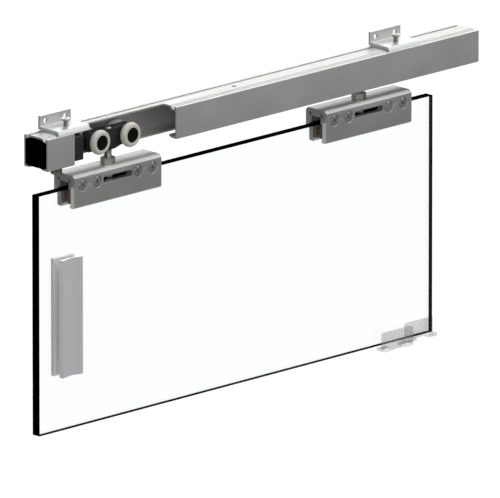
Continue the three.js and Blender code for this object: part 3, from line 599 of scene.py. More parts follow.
def hexagon(flats, turn=0):
    """The outline of a hexagon by its width across the flats."""
    corner = flats / math.sqrt(3)
    angles = [math.radians(60 * i + turn) for i in range(6)]
    return [(corner * math.cos(a), corner * math.sin(a)) for a in angles]


print("lathe ready,", ROUND, "sides")

# %% [markdown]
# Two things repeat all over this hardware: threads and fasteners. A thread is a surface
# whose radius rises and falls with height plus a share of a turn, which is one formula on
# a rolled-up grid. The tree rolls the grid, lets the ridge run out into the chamfer at the
# tip, and closes seam and ends by merging.

# %% The thread tree


def thread_tree():
    """A threaded bar about Z, from Low to High in metres."""
    tree, given = new_tree(
        "thread",
        Radius="Float",
        Pitch="Float",
        Depth="Float",
        Low="Float",
        High="Float",
        Tip="Float",
        Sides="Int",
        Rows="Int",
        Material="Material",
    )

    grid = add(
        tree,
        "GeometryNodeMeshGrid",
        {"Size X": 1.0, "Size Y": 1.0, "Vertices X": given["Sides"], "Vertices Y": given["Rows"]},
    )
    place = add(tree, "GeometryNodeInputPosition")
    flat = add(tree, "ShaderNodeSeparateXYZ", {0: place.outputs[0]})
    sums = {name: given[name] for name in ("Radius", "Pitch", "Depth", "Low", "High", "Tip")}
    sums |= {"across": flat.outputs["X"], "along": flat.outputs["Y"]}
    for name, operation, *parts in (
        ("round", "ADD", "across", 0.5),
        ("up", "ADD", "along", 0.5),
        ("length", "SUBTRACT", "High", "Low"),
        ("height", "MULTIPLY_ADD", "up", "length", "Low"),
        ("pitches", "DIVIDE", "height", "Pitch"),
        ("turns", "SUBTRACT", "pitches", "round"),
        ("wave", "PINGPONG", "turns", 0.5),
        ("groove", "MULTIPLY", "wave", 2.0),
        ("cut", "MULTIPLY", "groove", "Depth"),
        ("ridge", "SUBTRACT", "Radius", "cut"),
        ("to tip", "SUBTRACT", "High", "height"),
        ("tip radius", "SUBTRACT", "Radius", "Tip"),
        ("limit", "ADD", "tip radius", "to tip"),
        ("inside", "MINIMUM", "ridge", "limit"),
        ("past low", "GREATER_THAN", "up", 1e-4),
        ("below high", "LESS_THAN", "up", 0.9999),
        ("open", "MULTIPLY", "past low", "below high"),
        ("radius", "MULTIPLY", "inside", "open"),
        ("angle", "MULTIPLY", "round", 2 * math.pi),
        ("cosine", "COSINE", "angle"),
        ("sine", "SINE", "angle"),
        ("x", "MULTIPLY", "radius", "cosine"),
        ("y", "MULTIPLY", "radius", "sine"),
    ):
        links = {i: sums.get(part, part) for i, part in enumerate(parts)}
        sums[name] = add(tree, "ShaderNodeMath", links, operation=operation).outputs[0]
    rolled = add(tree, "ShaderNodeCombineXYZ", {"X": sums["x"], "Y": sums["y"], "Z": sums["height"]})
    moved = add(
        tree, "GeometryNodeSetPosition", {"Geometry": grid.outputs["Mesh"], "Position": rolled.outputs[0]}
    )
    closed = add(tree, "GeometryNodeMergeByDistance", {"Geometry": moved.outputs[0], "Distance": 1e-6})
    return dressed(tree, closed.outputs[0], given["Material"])


THREAD = thread_tree()
THREAD_SIDES = 33  # grid points round the bar; the last meets the first
ROWS_PER_TURN = 6


def threaded(name, diameter, pitch, low, high, tip, material):
    """A threaded bar about Z from low to high, all in mm."""
    rows = int((high - low) / pitch * ROWS_PER_TURN) + 2
    sizes = {
        "Radius": diameter / 2 * MM,
        "Pitch": pitch * MM,
        "Depth": 0.54 * pitch * MM,
        "Low": low * MM,
        "High": high * MM,
        "Tip": tip * MM,
    }
    bar = shown(name, bpy.data.meshes.new(name))
    grown(bar, THREAD, **sizes, Sides=THREAD_SIDES, Rows=rows, Material=material)
    return creased(outwards(bar), degrees=80)


print("thread tree:", len(THREAD.nodes), "nodes")

# %% [markdown]
# Repeated parts are made once and set out on points: one tree puts a part on every vertex
# of a point cloud, faces it the way it is driven, and turns it about its own axis by a
# random amount, since no fitter stops every socket at the same angle. The instances are
# made real at the end, and the result is one plain mesh for each moving body.

# %% The setting-out tree


def setting_out_tree():
    """Part on each point, faced by Facing and spun at random about its own axis."""
    tree, given = new_tree(
        "setting out", Part="Object", Facing="Vector", Spin="Float", Seed="Int", Material="Material"
    )
    part = add(tree, "GeometryNodeObjectInfo", {"Object": given["Part"]})
    facing = add(tree, "FunctionNodeEulerToRotation", {0: given["Facing"]})
    angle = add(
        tree,
        "FunctionNodeRandomValue",
        {2: 0.0, 3: given["Spin"], "Seed": given["Seed"]},
        data_type="FLOAT",
    )
    spin = add(tree, "FunctionNodeAxisAngleToRotation", {"Axis": (0, 0, 1), "Angle": angle.outputs[1]})
    turn = add(
        tree,
        "FunctionNodeRotateRotation",
        {0: facing.outputs[0], 1: spin.outputs[0]},
        rotation_space="LOCAL",
    )
    points = add(tree, "GeometryNodeMeshToPoints", {"Mesh": given["Geometry"]})
    placed = add(
        tree,
        "GeometryNodeInstanceOnPoints",
        {"Points": points.outputs[0], "Instance": part.outputs["Geometry"], "Rotation": turn.outputs[0]},
    )
    return dressed(tree, placed.outputs[0], given["Material"])


SETTING_OUT = setting_out_tree()
UP = (0, 0, 0)
DOWN = (math.pi, 0, 0)
TO_FRONT = (math.pi / 2, 0, 0)
TO_WALL = (-math.pi / 2, 0, 0)


def set_out(name, part, places, facing, material, spin=0.0, seed=0):
    """One mesh of a part set at each place (mm), facing one way."""
    mesh = bpy.data.meshes.new(name)
    mesh.from_pydata([at(*place) for place in places], [], [])
    sizes = {"Part": part, "Facing": facing, "Spin": spin, "Seed": seed, "Material": material}
    return creased(grown(shown(name, mesh), SETTING_OUT, **sizes))


def belongs(piece, body, slot, *nodes):
    """A finished piece rides on its body and stands for its CAD nodes. slot is not used."""
    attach(piece, body)
    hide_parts(*nodes)
    return piece


print("setting-out tree:", len(SETTING_OUT.nodes), "nodes")

# %% [markdown]
# ## The track rail
#
# A deep C of extruded aluminium, open below. Two lips carry the wheels in shallow running
# grooves, and the roof has two leaning grooves that the wall brackets hook into, with a
# raised crown between them for the clamping screws to bear on.

# %% Rail section
RAIL_WALL = 2.0
LIP = 1.8
SEAT_GAP = 0.3
LIP_CLEARANCE = 0.4  # between a lip's tip and the chassis
CHASSIS_FRONT = span("chassis_left")[0].y
LIP_TIP = CHASSIS_FRONT - LIP_CLEARANCE
LIP_BEVEL_START = 6.2
LIP_BEVEL_RISE = 1.4
front_tyre_low, front_tyre_high = span("tyre_left_front_a")
RUNNING_Y = (front_tyre_low.y + front_tyre_high.y) / 2
RUNNING_RADIUS = 7.0
RUNNING_STEPS = 12
CEILING = span("end_stop_left")[1].z + SEAT_GAP
CROWN_RISE = 0.6
CROWN_START = 8.4
CROWN_SLOPE = 0.8
CROWN_SKIN = 2.0
ROOF = CROWN_TOP - CROWN_RISE
GROOVE_DEPTH = 2.7
GROOVE_EDGE = 3.9
GROOVE_WIDTH = 3.3
HOOK_LEAN = 0.54
RAIL_CORNERS = 0.45


def across(outline):
    """The same points on the wall side of the rail."""
    return [(RAIL_WIDTH - y, z) for y, z in outline]


def running_height(y):
    """Height of the running groove at a distance from the rail's face."""
    return LIP + RUNNING_RADIUS - math.sqrt(RUNNING_RADIUS**2 - (y - RUNNING_Y) ** 2)


def running_groove(start, end, lift=0.0):
    """Points along the running groove, lifted by a clearance."""
    places = [start + (end - start) * step / RUNNING_STEPS for step in range(RUNNING_STEPS + 1)]
    return [(y, running_height(y) + lift) for y in places]


def rail_section():
    """Half of the section outside, its mirror image, and the same for the inside."""
    floor = ROOF - GROOVE_DEPTH
    lean = HOOK_LEAN * GROOVE_DEPTH
    outside = [
        (LIP_TIP, LIP_BEVEL_RISE),
        (LIP_BEVEL_START, 0),
        (0, 0),
        (0, ROOF),
        (GROOVE_EDGE, ROOF),
        (GROOVE_EDGE - lean, floor),
        (GROOVE_EDGE - lean + GROOVE_WIDTH, floor),
        (GROOVE_EDGE + GROOVE_WIDTH, ROOF),
        (CROWN_START, ROOF),
        (CROWN_START + CROWN_SLOPE, CROWN_TOP),
    ]
    inside = [
        *running_groove(LIP_TIP, RAIL_WALL),
        (RAIL_WALL, CEILING),
        (CROWN_START - 0.6, CEILING),
        (CROWN_START + 2 * CROWN_SLOPE, CROWN_TOP - CROWN_SKIN),
    ]
    outline = [*outside, *across(outside)[::-1], *across(inside), *inside[::-1]]
    return softened(outline, RAIL_CORNERS)


print("rail section:", len(rail_section()), "points")

# %% [markdown]
# The front wall and the front lip are milled away round the left carriage, as on a
# showroom sample, and a small hole is drilled through the crown. Both are plain booleans,
# and the bevel then breaks the cut edges by a fifth of a millimetre.

# %% Rail
CUT_START = 37.0
CUT_END = 177.0
CUT_DEPTH = 18.6
RAIL_HOLE_X = 273.0
RAIL_HOLE_RADIUS = 2.5
OVERRUN = 5  # mm that a cutter runs past what it cuts


def box_cutter(x0, x1, y0, y1, z0, z1):
    """A box to cut with, by its faces in mm."""
    return extruded("cutter", [(y0, z0), (y1, z0), (y1, z1), (y0, z1)], "x", x0, x1, None)


rail = extruded("rail_extrusion", rail_section(), "x", 0, RAIL_LENGTH, rail_aluminium)
carved(
    rail,
    [
        box_cutter(CUT_START, CUT_END, -OVERRUN, CUT_DEPTH, -OVERRUN, CROWN_TOP + OVERRUN),
        drill(RAIL_HOLE_RADIUS, CEILING, CROWN_TOP + OVERRUN, at(RAIL_HOLE_X, MID_Y, 0)),
    ],
)
eased(rail, 0.2)
belongs(rail, "rail", "rail_aluminium", "track_rail")
print("rail faces:", len(rail.data.polygons))

# %% [markdown]
# ## Wall brackets
#
# Each bracket is a short length of its own extrusion: a plate with two leaning hooks under
# it that slide into the rail's roof grooves, and an upright leg with two holes for wall
# screws. A screw through the plate presses on the crown and locks the bracket.

# %% Brackets
HOOK_THICKNESS = 2.3
HOOK_TIP_GAP = 1.1
BRACKET_LEG = 2.6
WALL_HOLE_RADIUS = 2.6
WALL_HOLE_SPACING = 27.0
PLATE_HOLE_RADIUS = 2.8
PLATE_BOTTOM = CROWN_TOP + SEAT_GAP
PLATE_TOP = PLATE_BOTTOM + 3.0
WALL_HOLE_Z = -RAIL_CORNER.z / MM  # the frame's origin is at the height of these holes
BRACKET_CORNERS = 0.5


def hook_face(z):
    """Front surface of the hook at a height."""
    return GROOVE_EDGE + SEAT_GAP * math.hypot(1, HOOK_LEAN) + HOOK_LEAN * (z - ROOF)


def bracket_section(wall, leg_top):
    """Plate, two hooks and leg, from the front hook round to the plate's front edge."""
    tip = ROOF - GROOVE_DEPTH + HOOK_TIP_GAP
    hook = [
        (hook_face(tip), tip),
        (hook_face(tip) + HOOK_THICKNESS, tip),
        (hook_face(PLATE_BOTTOM) + HOOK_THICKNESS, PLATE_BOTTOM),
    ]
    rear = across(hook)[::-1] + across([(hook_face(PLATE_BOTTOM), PLATE_BOTTOM)])
    leg = [
        (wall, PLATE_BOTTOM),
        (wall, leg_top),
        (wall - BRACKET_LEG, leg_top),
        (wall - BRACKET_LEG, PLATE_TOP),
        (hook_face(PLATE_TOP), PLATE_TOP),
    ]
    return softened([*hook, *rear, *leg], BRACKET_CORNERS)


for side in SIDES:
    low, high = span(f"wall_bracket_{side}")
    middle = (low.x + high.x) / 2
    section = bracket_section(high.y, high.z)
    bracket = extruded(f"bracket_{side}", section, "x", low.x, high.x, bracket_aluminium)
    holes = [
        drill(WALL_HOLE_RADIUS, -5, 5, at(middle + step, high.y - BRACKET_LEG / 2, WALL_HOLE_Z), "y")
        for step in (-WALL_HOLE_SPACING / 2, WALL_HOLE_SPACING / 2)
    ]
    holes.append(drill(PLATE_HOLE_RADIUS, PLATE_BOTTOM - 0.2, PLATE_TOP + OVERRUN, at(middle, MID_Y, 0)))
    carved(bracket, holes)
    eased(bracket, 0.25)
    belongs(bracket, "rail", "bracket_aluminium", f"wall_bracket_{side}")
    print(bracket.name, "faces:", len(bracket.data.polygons))

# %% [markdown]
# ## Screws, bolts and nuts
#
# A hexagon head is never a plain prism: the bar is chamfered on a lathe before or after
# the flats are milled, so each flat ends in a curved line. Intersecting a prism with a
# turned blank gives those curves for free. Sockets are cut with a hexagonal cutter.

# %% Fastener helpers
HEAD_TURN = 30  # degrees, the corner of a head from the rail's direction


def hex_head(name, flats, low, high, chamfer, material, turn=HEAD_TURN, bottom=True):
    """A hexagonal head with turned chamfers, about Z, in mm."""
    corner = flats / math.sqrt(3)
    blank = [
        (0, low),
        (corner - chamfer if bottom else corner + 1, low),
        (corner + 1, low + (chamfer + 1) * 0.5 if bottom else low),
        (corner + 1, high - (chamfer + 1) * 0.5),
        (corner - chamfer, high),
        (0, high),
    ]
    profile = [point for i, point in enumerate(blank) if i == 0 or point != blank[i - 1]]
    mesh = bpy.data.meshes.new(name)
    mesh.from_pydata([Vector((u, v, low - 1)) * MM for u, v in hexagon(flats, turn)], [], [range(6)])
    push = Vector((0, 0, high - low + 2)) * MM
    head = outwards(grown(shown(name, mesh), EXTRUSION, Push=push, Material=material))
    return carved(head, [turned("blank", profile, material)], "INTERSECT")


def socket_cutter(flats, low, high):
    """A hexagonal key to cut a socket with, about Z, in mm."""
    mesh = bpy.data.meshes.new("key")
    mesh.from_pydata([Vector((u, v, low)) * MM for u, v in hexagon(flats, 11)], [], [range(6)])
    push = Vector((0, 0, high - low)) * MM
    return outwards(grown(shown("key", mesh), EXTRUSION, Push=push, Material=None))


def pattern(part):
    """A part that only serves as a pattern: set out on points, and then cleared away."""
    bpy.context.scene.collection.objects.unlink(part)
    return part


print("fastener helpers ready")

# %% [markdown]
# The bracket screws are slim countersunk screws that stand proud of the plate, as their
# length presses on the rail. Only their tips reach the crown.

# %% Bracket screws
SET_SCREW = 5.0
SET_HEAD = 9.2
SET_RIM = 0.9
SET_CONE = 2.6
SET_SOCKET = 3.0
SET_SOCKET_DEPTH = 2.0
SET_PITCH = 0.8


def bracket_screw(length):
    """A countersunk screw standing on its tip, with its head up."""
    shank_top = length - SET_RIM - SET_CONE * 0.5
    shank = threaded("shank", SET_SCREW, SET_PITCH, 0, shank_top, 0.3, bracket_screw_steel)
    head = [
        (0, length - SET_RIM - SET_CONE - 0.4),
        (SET_SCREW / 2 - 0.5, length - SET_RIM - SET_CONE - 0.4),
        (SET_SCREW / 2, length - SET_RIM - SET_CONE),
        (SET_HEAD / 2 - 0.1, length - SET_RIM - 0.1),
        (SET_HEAD / 2, length - SET_RIM + 0.05),
        (SET_HEAD / 2, length - 0.2),
        (SET_HEAD / 2 - 0.2, length),
        (0, length),
    ]
    screw = turned("bracket screw", head, bracket_screw_steel)
    carved(screw, [socket_cutter(SET_SOCKET, length - SET_SOCKET_DEPTH, length + 1)])
    return carved(screw, [shank], "UNION")


for seed, side in enumerate(SIDES):
    low, high = span(f"bracket_screw_{side}")
    part = pattern(bracket_screw(high.z - low.z))
    place = ((low.x + high.x) / 2, MID_Y, low.z)
    screw = set_out(f"bracket_screw_{side}_turned", part, [place], UP, bracket_screw_steel, 2 * math.pi, seed)
    belongs(screw, "rail", "bracket_screw_steel", f"bracket_screw_{side}")
    print(screw.name, "faces:", len(screw.data.polygons))

# %% [markdown]
# The left stop screw is a hexagon flange screw driven up from below. Its flange pulls
# against the two lips of the rail and holds the end stop still. The right stop has a
# headless set screw instead, which goes right through it and presses on the rail's roof.

# %% Stop screws
STOP_SCREW = 6.0
STOP_FLANGE = 1.6
STOP_FLANGE_RADIUS = 7.5
STOP_HEX = 10.0
STOP_HEX_HEIGHT = 8.0
STOP_REACH = 14.0
STOP_SOCKET = 3.0
STOP_SOCKET_DEPTH = 3.5


def stop_screw():
    """Seated at its flange's upper face, which is the origin, with its head along +Z."""
    top = STOP_FLANGE + STOP_HEX_HEIGHT
    head = hex_head("stop screw", STOP_HEX, STOP_FLANGE * 0.5, top, 0.6, stop_screw_steel, bottom=False)
    flange = [
        (0, 0),
        (STOP_FLANGE_RADIUS - 0.2, 0),
        (STOP_FLANGE_RADIUS, 0.2),
        (STOP_FLANGE_RADIUS, STOP_FLANGE * 0.55),
        (STOP_FLANGE_RADIUS - 0.3, STOP_FLANGE * 0.85),
        (STOP_HEX / 2, STOP_FLANGE),
        (0, STOP_FLANGE),
    ]
    shank = threaded("shank", STOP_SCREW, 1.0, -STOP_REACH + SEAT_GAP, STOP_FLANGE * 0.4, 0, stop_screw_steel)
    return carved(head, [turned("flange", flange, stop_screw_steel), shank], "UNION")


def stop_set_screw(length):
    """A headless screw with its socket at the origin and its tip along +Z."""
    screw = threaded("set screw", STOP_SCREW, 1.0, 0, length, 0.4, stop_screw_steel)
    return carved(screw, [socket_cutter(STOP_SOCKET, -1, STOP_SOCKET_DEPTH)])


set_low, set_high = span("end_stop_screw_right")
stop_screws = {
    "left": (pattern(stop_screw()), -SEAT_GAP, DOWN),
    "right": (pattern(stop_set_screw(set_high.z - set_low.z)), set_low.z, UP),
}
for seed, (side, (part, seat, facing)) in enumerate(stop_screws.items()):
    low, high = span(f"end_stop_screw_{side}")
    place = ((low.x + high.x) / 2, MID_Y, seat)
    screw = set_out(f"stop_screw_{side}", part, [place], facing, stop_screw_steel, 1.0, seed + 2)
    belongs(screw, "rail", "stop_screw_steel", f"end_stop_screw_{side}")
    print(screw.name, "faces:", len(screw.data.polygons))

# %% [markdown]
# ## End stops
#
# A black moulded block fills each end of the rail. Its feet follow the running grooves,
# and a rubber buffer on its inner face takes the carriage's knock.

# %% End stops
STOP_BASE = 14.0
STOP_BASE_TOP = running_height(RUNNING_Y) + 5.2
STOP_BLOCK_CORNER = 2.0


def stop_section(top, corner):
    """A stop's section: feet in the grooves, open between the lips, and round shoulders."""
    side = RAIL_WALL + SEAT_GAP
    foot = [
        (CHASSIS_FRONT, SEAT_GAP),
        (CHASSIS_FRONT, running_height(LIP_TIP) + SEAT_GAP),
        *running_groove(LIP_TIP, side, SEAT_GAP),
        (side, top),
    ]
    return softened([*foot, *across(foot)[::-1]], corner)


for side in SIDES:
    low, high = span(f"end_stop_{side}")
    base_end = low.x + STOP_BASE if side == "left" else high.x - STOP_BASE
    block = sorted((base_end, high.x if side == "left" else low.x))
    base = sorted((base_end, low.x if side == "left" else high.x))
    stop = extruded(f"stop_block_{side}", stop_section(high.z, STOP_BLOCK_CORNER), "x", *block, stop_plastic)
    overlap = (base[0] - (0 if side == "left" else 1), base[1] + (1 if side == "left" else 0))
    foot = extruded("stop base", stop_section(STOP_BASE_TOP, 0.5), "x", *overlap, stop_plastic)
    carved(stop, [foot], "UNION")
    screw_low, screw_high = span(f"end_stop_screw_{side}")
    bore_top = STOP_REACH + SEAT_GAP if side == "left" else CEILING + OVERRUN
    screw_axis = at((screw_low.x + screw_high.x) / 2, MID_Y, 0)
    carved(stop, [drill(STOP_SCREW / 2 + SEAT_GAP, -5, bore_top, screw_axis)])
    eased(stop, 0.4, clamp=True)
    belongs(stop, "rail", "stop_plastic", f"end_stop_{side}")
    low, high = span(f"end_stop_buffer_{side}")
    pad = oblong(low.y, high.y, low.z, high.z, STOP_BLOCK_CORNER)
    buffer = eased(extruded(f"stop_buffer_{side}", pad, "x", low.x, high.x, buffer_rubber), 0.6, 3)
    belongs(buffer, "rail", "buffer_rubber", f"end_stop_buffer_{side}")
    print(stop.name, "faces:", len(stop.data.polygons))

# %% [markdown]
# ## Carriages
#
# A narrow moulded chassis runs between the rail's lips with two axles across it. Each axle
# carries a wheel on both sides: an ivory nylon tyre with a round tread, pressed on a black
# hub with a closed, slightly dished face.

# %% Chassis
KEEL = 2.5
KEEL_FLAT = 9.0
KEEL_LENGTH = 28.0
CHASSIS_CORNER = 5.0
BOLT = 8.0
AXLE = 4.0


def chassis_section(low, high):
    """Side view of a chassis: clipped upper corners and a keel under the middle."""
    middle = (low.x + high.x) / 2
    belly = low.z + KEEL
    outline = [
        (low.x, belly),
        (middle - KEEL_LENGTH / 2, belly),
        (middle - KEEL_FLAT / 2, low.z),
        (middle + KEEL_FLAT / 2, low.z),
        (middle + KEEL_LENGTH / 2, belly),
        (high.x, belly),
        (high.x, high.z - CHASSIS_CORNER),
        (high.x - CHASSIS_CORNER, high.z),
        (low.x + CHASSIS_CORNER, high.z),
        (low.x, high.z - CHASSIS_CORNER),
    ]
    return softened(outline, 2.5)


for side in SIDES:
    low, high = span(f"chassis_{side}")
    middle = (low.x + high.x) / 2
    section = chassis_section(low, high)
    chassis = extruded(f"chassis_moulding_{side}", section, "y", low.y, high.y, chassis_plastic)
    bores = [drill(BOLT / 2 + SEAT_GAP, low.z - OVERRUN, high.z + OVERRUN, at(middle, MID_Y, 0))]
    for end in "ab":
        axle_low, axle_high = span(f"axle_{side}_{end}")
        centre = (axle_low + axle_high) / 2
        bores.append(drill(AXLE / 2 + SEAT_GAP, -20, 20, at(*centre), "y"))
    carved(chassis, bores)
    eased(chassis, 0.5, 3)
    belongs(chassis, f"carriage_{side}", "chassis_plastic", f"chassis_{side}")
    print(chassis.name, "faces:", len(chassis.data.polygons))

# %% Axles
AXLE_CHAMFER = 0.4


def axle(length):
    """A ground pin, centred at the origin, with chamfered ends."""
    half = length / 2
    radius = AXLE / 2
    profile = [
        (0, -half),
        (radius - AXLE_CHAMFER, -half),
        (radius, -half + AXLE_CHAMFER),
        (radius, half - AXLE_CHAMFER),
        (radius - AXLE_CHAMFER, half),
        (0, half),
    ]
    return turned("axle", profile, axle_steel)


for side in SIDES:
    spans = [span(f"axle_{side}_{end}") for end in "ab"]
    low, high = spans[0]
    part = pattern(axle(high.y - low.y))
    places = [(low + high) / 2 for low, high in spans]
    pair = set_out(f"axles_{side}", part, places, TO_FRONT, axle_steel)
    belongs(pair, f"carriage_{side}", "axle_steel", f"axle_{side}_a", f"axle_{side}_b")
    print(pair.name, "faces:", len(pair.data.polygons))

# %% [markdown]
# The tread is an arc that meets the flat side rings, with a tiny radius where they turn.
# A wheel is drawn with its outer face along +Z and then faced to the front or to the wall.

# %% Wheels
WHEEL_RADIUS = (front_tyre_high.x - front_tyre_low.x) / 2
WHEEL_HALF = (front_tyre_high.y - front_tyre_low.y) / 2
FACE_RADIUS = 10.4
TREAD_STEPS = 16
hub_low, hub_high = span("hub_left_front_a")
HUB_RADIUS = (hub_high.x - hub_low.x) / 2
HUB_RECESS = 0.4
HUB_DISH = 0.5
HUB_CAP = 1.4
PRESS_GAP = 0.05  # the real press fit leaves none
HUB_RIM = 0.25  # chamfer round a hub's face


def tyre():
    """A nylon ring about Z, centred on its middle plane."""
    rise = WHEEL_RADIUS - FACE_RADIUS
    crown = (WHEEL_HALF**2 + rise**2) / (2 * rise)
    reach = math.asin(WHEEL_HALF / crown)
    angles = [-reach + 2 * reach * step / TREAD_STEPS for step in range(TREAD_STEPS + 1)]
    tread = [(WHEEL_RADIUS - crown * (1 - math.cos(a)), crown * math.sin(a)) for a in angles]
    bore = HUB_RADIUS + PRESS_GAP
    section = [(bore, -WHEEL_HALF), *tread, (bore, WHEEL_HALF)]
    return creased(turned("tyre", softened(section, 0.3), tyre_nylon))


def hub():
    """A black hub about Z with its closed face up and its bore open below."""
    face = WHEEL_HALF - HUB_RECESS
    bore = AXLE / 2 + SEAT_GAP
    profile = [
        (0, face - HUB_DISH),
        (HUB_RADIUS - 2.2, face - HUB_DISH),
        (HUB_RADIUS - 1.6, face),
        (HUB_RADIUS - HUB_RIM, face),
        (HUB_RADIUS, face - HUB_RIM),
        (HUB_RADIUS, -WHEEL_HALF + 0.2),
        (HUB_RADIUS - 0.2, -WHEEL_HALF),
        (bore, -WHEEL_HALF),
        (bore, face - HUB_CAP),
        (0, face - HUB_CAP),
    ]
    return turned("hub", profile[::-1], hub_plastic)


tyre_pattern = pattern(tyre())
hub_pattern = pattern(hub())
for side in SIDES:
    for row, facing in (("front", TO_FRONT), ("rear", TO_WALL)):
        for end in "ab":
            wheel = f"{side}_{row}_{end}"
            low, high = span(f"tyre_{wheel}")
            centre = (low + high) / 2
            for kind, part, material, slot in (
                ("tyre", tyre_pattern, tyre_nylon, "tyre_nylon"),
                ("hub", hub_pattern, hub_plastic, "hub_plastic"),
            ):
                piece = set_out(f"wheel_{kind}_{wheel}", part, [centre], facing, material)
                belongs(piece, f"wheel_{wheel}", slot, f"{kind}_{wheel}")
print("8 tyres of", len(tyre_pattern.data.polygons), "faces each")
print("8 hubs of", len(hub_pattern.data.polygons), "faces each")

# %% [markdown]
# ## Suspension bolts
#
# The door's weight hangs on two M8 screws, threaded up through the carriages with their
# heads captive in the clamps. Turning one lifts that end of the door, and the nut locks it.

# %% Bolts and nuts
BOLT_PITCH = 1.25
BOLT_HEX = 10.0
BOLT_HEAD = 5.5
BOLT_TIP = 0.8
NUT_HEX = 13.0
NUT_TURN = 22  # degrees, where its corner stopped when it was locked


def suspension_bolt(length):
    """A hexagon screw standing on its head's lower face at the origin."""
    head = hex_head("bolt", BOLT_HEX, 0, BOLT_HEAD, 0.5, bolt_steel)
    shank = threaded("shank", BOLT, BOLT_PITCH, BOLT_HEAD / 2, length, BOLT_TIP, bolt_steel)
    return carved(head, [shank], "UNION")


def lock_nut(height):
    """A chamfered hexagon nut on its lower face at the origin."""
    nut = hex_head("nut", NUT_HEX, 0, height, 0.7, nut_steel, NUT_TURN)
    bore = BOLT / 2 + PRESS_GAP
    profile = [
        (0, -1),
        (bore + 1.6, -1),
        (bore, 0.6),
        (bore, height - 0.6),
        (bore + 1.6, height + 1),
        (0, height + 1),
    ]
    return carved(nut, [turned("bore", profile, None)])


for seed, side in enumerate(SIDES):
    for node, make, material, slot in (
        ("suspension_bolt", suspension_bolt, bolt_steel, "bolt_steel"),
        ("lock_nut", lock_nut, nut_steel, "nut_steel"),
    ):
        low, high = span(f"{node}_{side}")
        part = pattern(make(high.z - low.z))
        place = ((low.x + high.x) / 2, MID_Y, low.z)
        piece = set_out(f"{node}_{side}_turned", part, [place], UP, material)
        belongs(piece, f"bolt_{side}", slot, f"{node}_{side}")
        print(piece.name, "faces:", len(piece.data.polygons))

# %% [markdown]
# ## Glass clamps
#
# Each clamp is two extrusions: a body with the bolt channel and the rear leg, and a front
# jaw that four countersunk screws pull against it, so that the glass is gripped between
# two rubber strips. An oblong window gives a spanner access to the bolt's head.

# %% Clamp sections
JAW_FOOT = 1.3
JAW_FOOT_HEIGHT = 4.0
JAW_CORNER = 1.5
CLAMP_CHAMFER = 3.0
CLAMP_WEB = 8.1
CHANNEL_HALF = 6.22
CHANNEL_HEIGHT = 6.4
CLAMP_CORNERS = 0.4
WINDOW_LENGTH = 40.0
PORT_RADIUS = 1.6
PORT_OFFSET = 8.0
PORT_BELOW_TOP = 6.1
NUT_RECESS_RADIUS = 8.0
NUT_RECESS_DEPTH = 0.6

jaw_low, jaw_high = span("clamp_jaw_left")
CLAMP_FRONT = jaw_low.y
CLAMP_TOP = jaw_high.z
CLAMP_BOTTOM = jaw_low.z
JAW_INNER = jaw_high.y - JAW_FOOT
CLAMP_BACK = RAIL_WIDTH - CLAMP_FRONT
CHANNEL_TOP = CLAMP_TOP - CLAMP_WEB
CHANNEL_BOTTOM = CHANNEL_TOP - CHANNEL_HEIGHT
WINDOW_Z = (CHANNEL_TOP + CHANNEL_BOTTOM) / 2


def leg_foot(outer, leg_inner, foot_inner):
    """The lower end of a leg, with a small foot turned towards the glass."""
    inward = math.copysign(1, leg_inner - outer)
    top = CLAMP_BOTTOM + JAW_FOOT_HEIGHT
    return [
        (leg_inner, top),
        (foot_inner, top - JAW_FOOT),
        (foot_inner, CLAMP_BOTTOM + JAW_CORNER / 2),
        (foot_inner - inward * JAW_CORNER / 2, CLAMP_BOTTOM),
        (outer + inward * JAW_CORNER, CLAMP_BOTTOM),
        (outer, CLAMP_BOTTOM + JAW_CORNER),
    ]


def jaw_section():
    """The front jaw: a flat bar with a chamfered top edge and a foot."""
    top = [
        (CLAMP_FRONT, CLAMP_TOP - CLAMP_CHAMFER),
        (CLAMP_FRONT + CLAMP_CHAMFER, CLAMP_TOP),
        (JAW_INNER, CLAMP_TOP),
    ]
    return softened([*top, *leg_foot(CLAMP_FRONT, JAW_INNER, JAW_INNER + JAW_FOOT)], CLAMP_CORNERS)


def body_section():
    """The body: a thick roof, the bolt channel under it and the rear leg."""
    joint = JAW_INNER + SEAT_GAP
    leg_inner = RAIL_WIDTH - JAW_INNER
    outline = [
        (joint, CLAMP_TOP),
        (CLAMP_BACK - CLAMP_CHAMFER, CLAMP_TOP),
        (CLAMP_BACK, CLAMP_TOP - CLAMP_CHAMFER),
        *leg_foot(CLAMP_BACK, leg_inner, leg_inner - JAW_FOOT)[::-1],
        (leg_inner, CHANNEL_BOTTOM),
        (MID_Y + CHANNEL_HALF, CHANNEL_BOTTOM),
        (MID_Y + CHANNEL_HALF, CHANNEL_TOP),
        (MID_Y - CHANNEL_HALF, CHANNEL_TOP),
        (MID_Y - CHANNEL_HALF, CHANNEL_BOTTOM),
        (joint, CHANNEL_BOTTOM),
    ]
    return softened(outline, CLAMP_CORNERS)


print("clamp", CLAMP_BACK - CLAMP_FRONT, "x", CLAMP_TOP - CLAMP_BOTTOM, "mm in section")

# %% Clamps
SCREW_COUNT = 4
CLAMP_SCREW = 5.0
CLAMP_HEAD = 9.2
CLAMP_CONE = 2.4
CLAMP_SINK = 0.4
COUNTERBORE_RADIUS = 6.3  # of the shallow milled ring round each head
CLAMP_SOCKET = 3.0
CLAMP_SOCKET_DEPTH = 1.8


def window_cutter(x, y0, y1):
    """The oblong window, between two depths."""
    radius = CHANNEL_HEIGHT / 2 - 0.05
    half = WINDOW_LENGTH / 2
    outline = oblong(x - half, x + half, WINDOW_Z - radius, WINDOW_Z + radius, radius)
    return extruded("window", outline, "y", y0, y1, None)


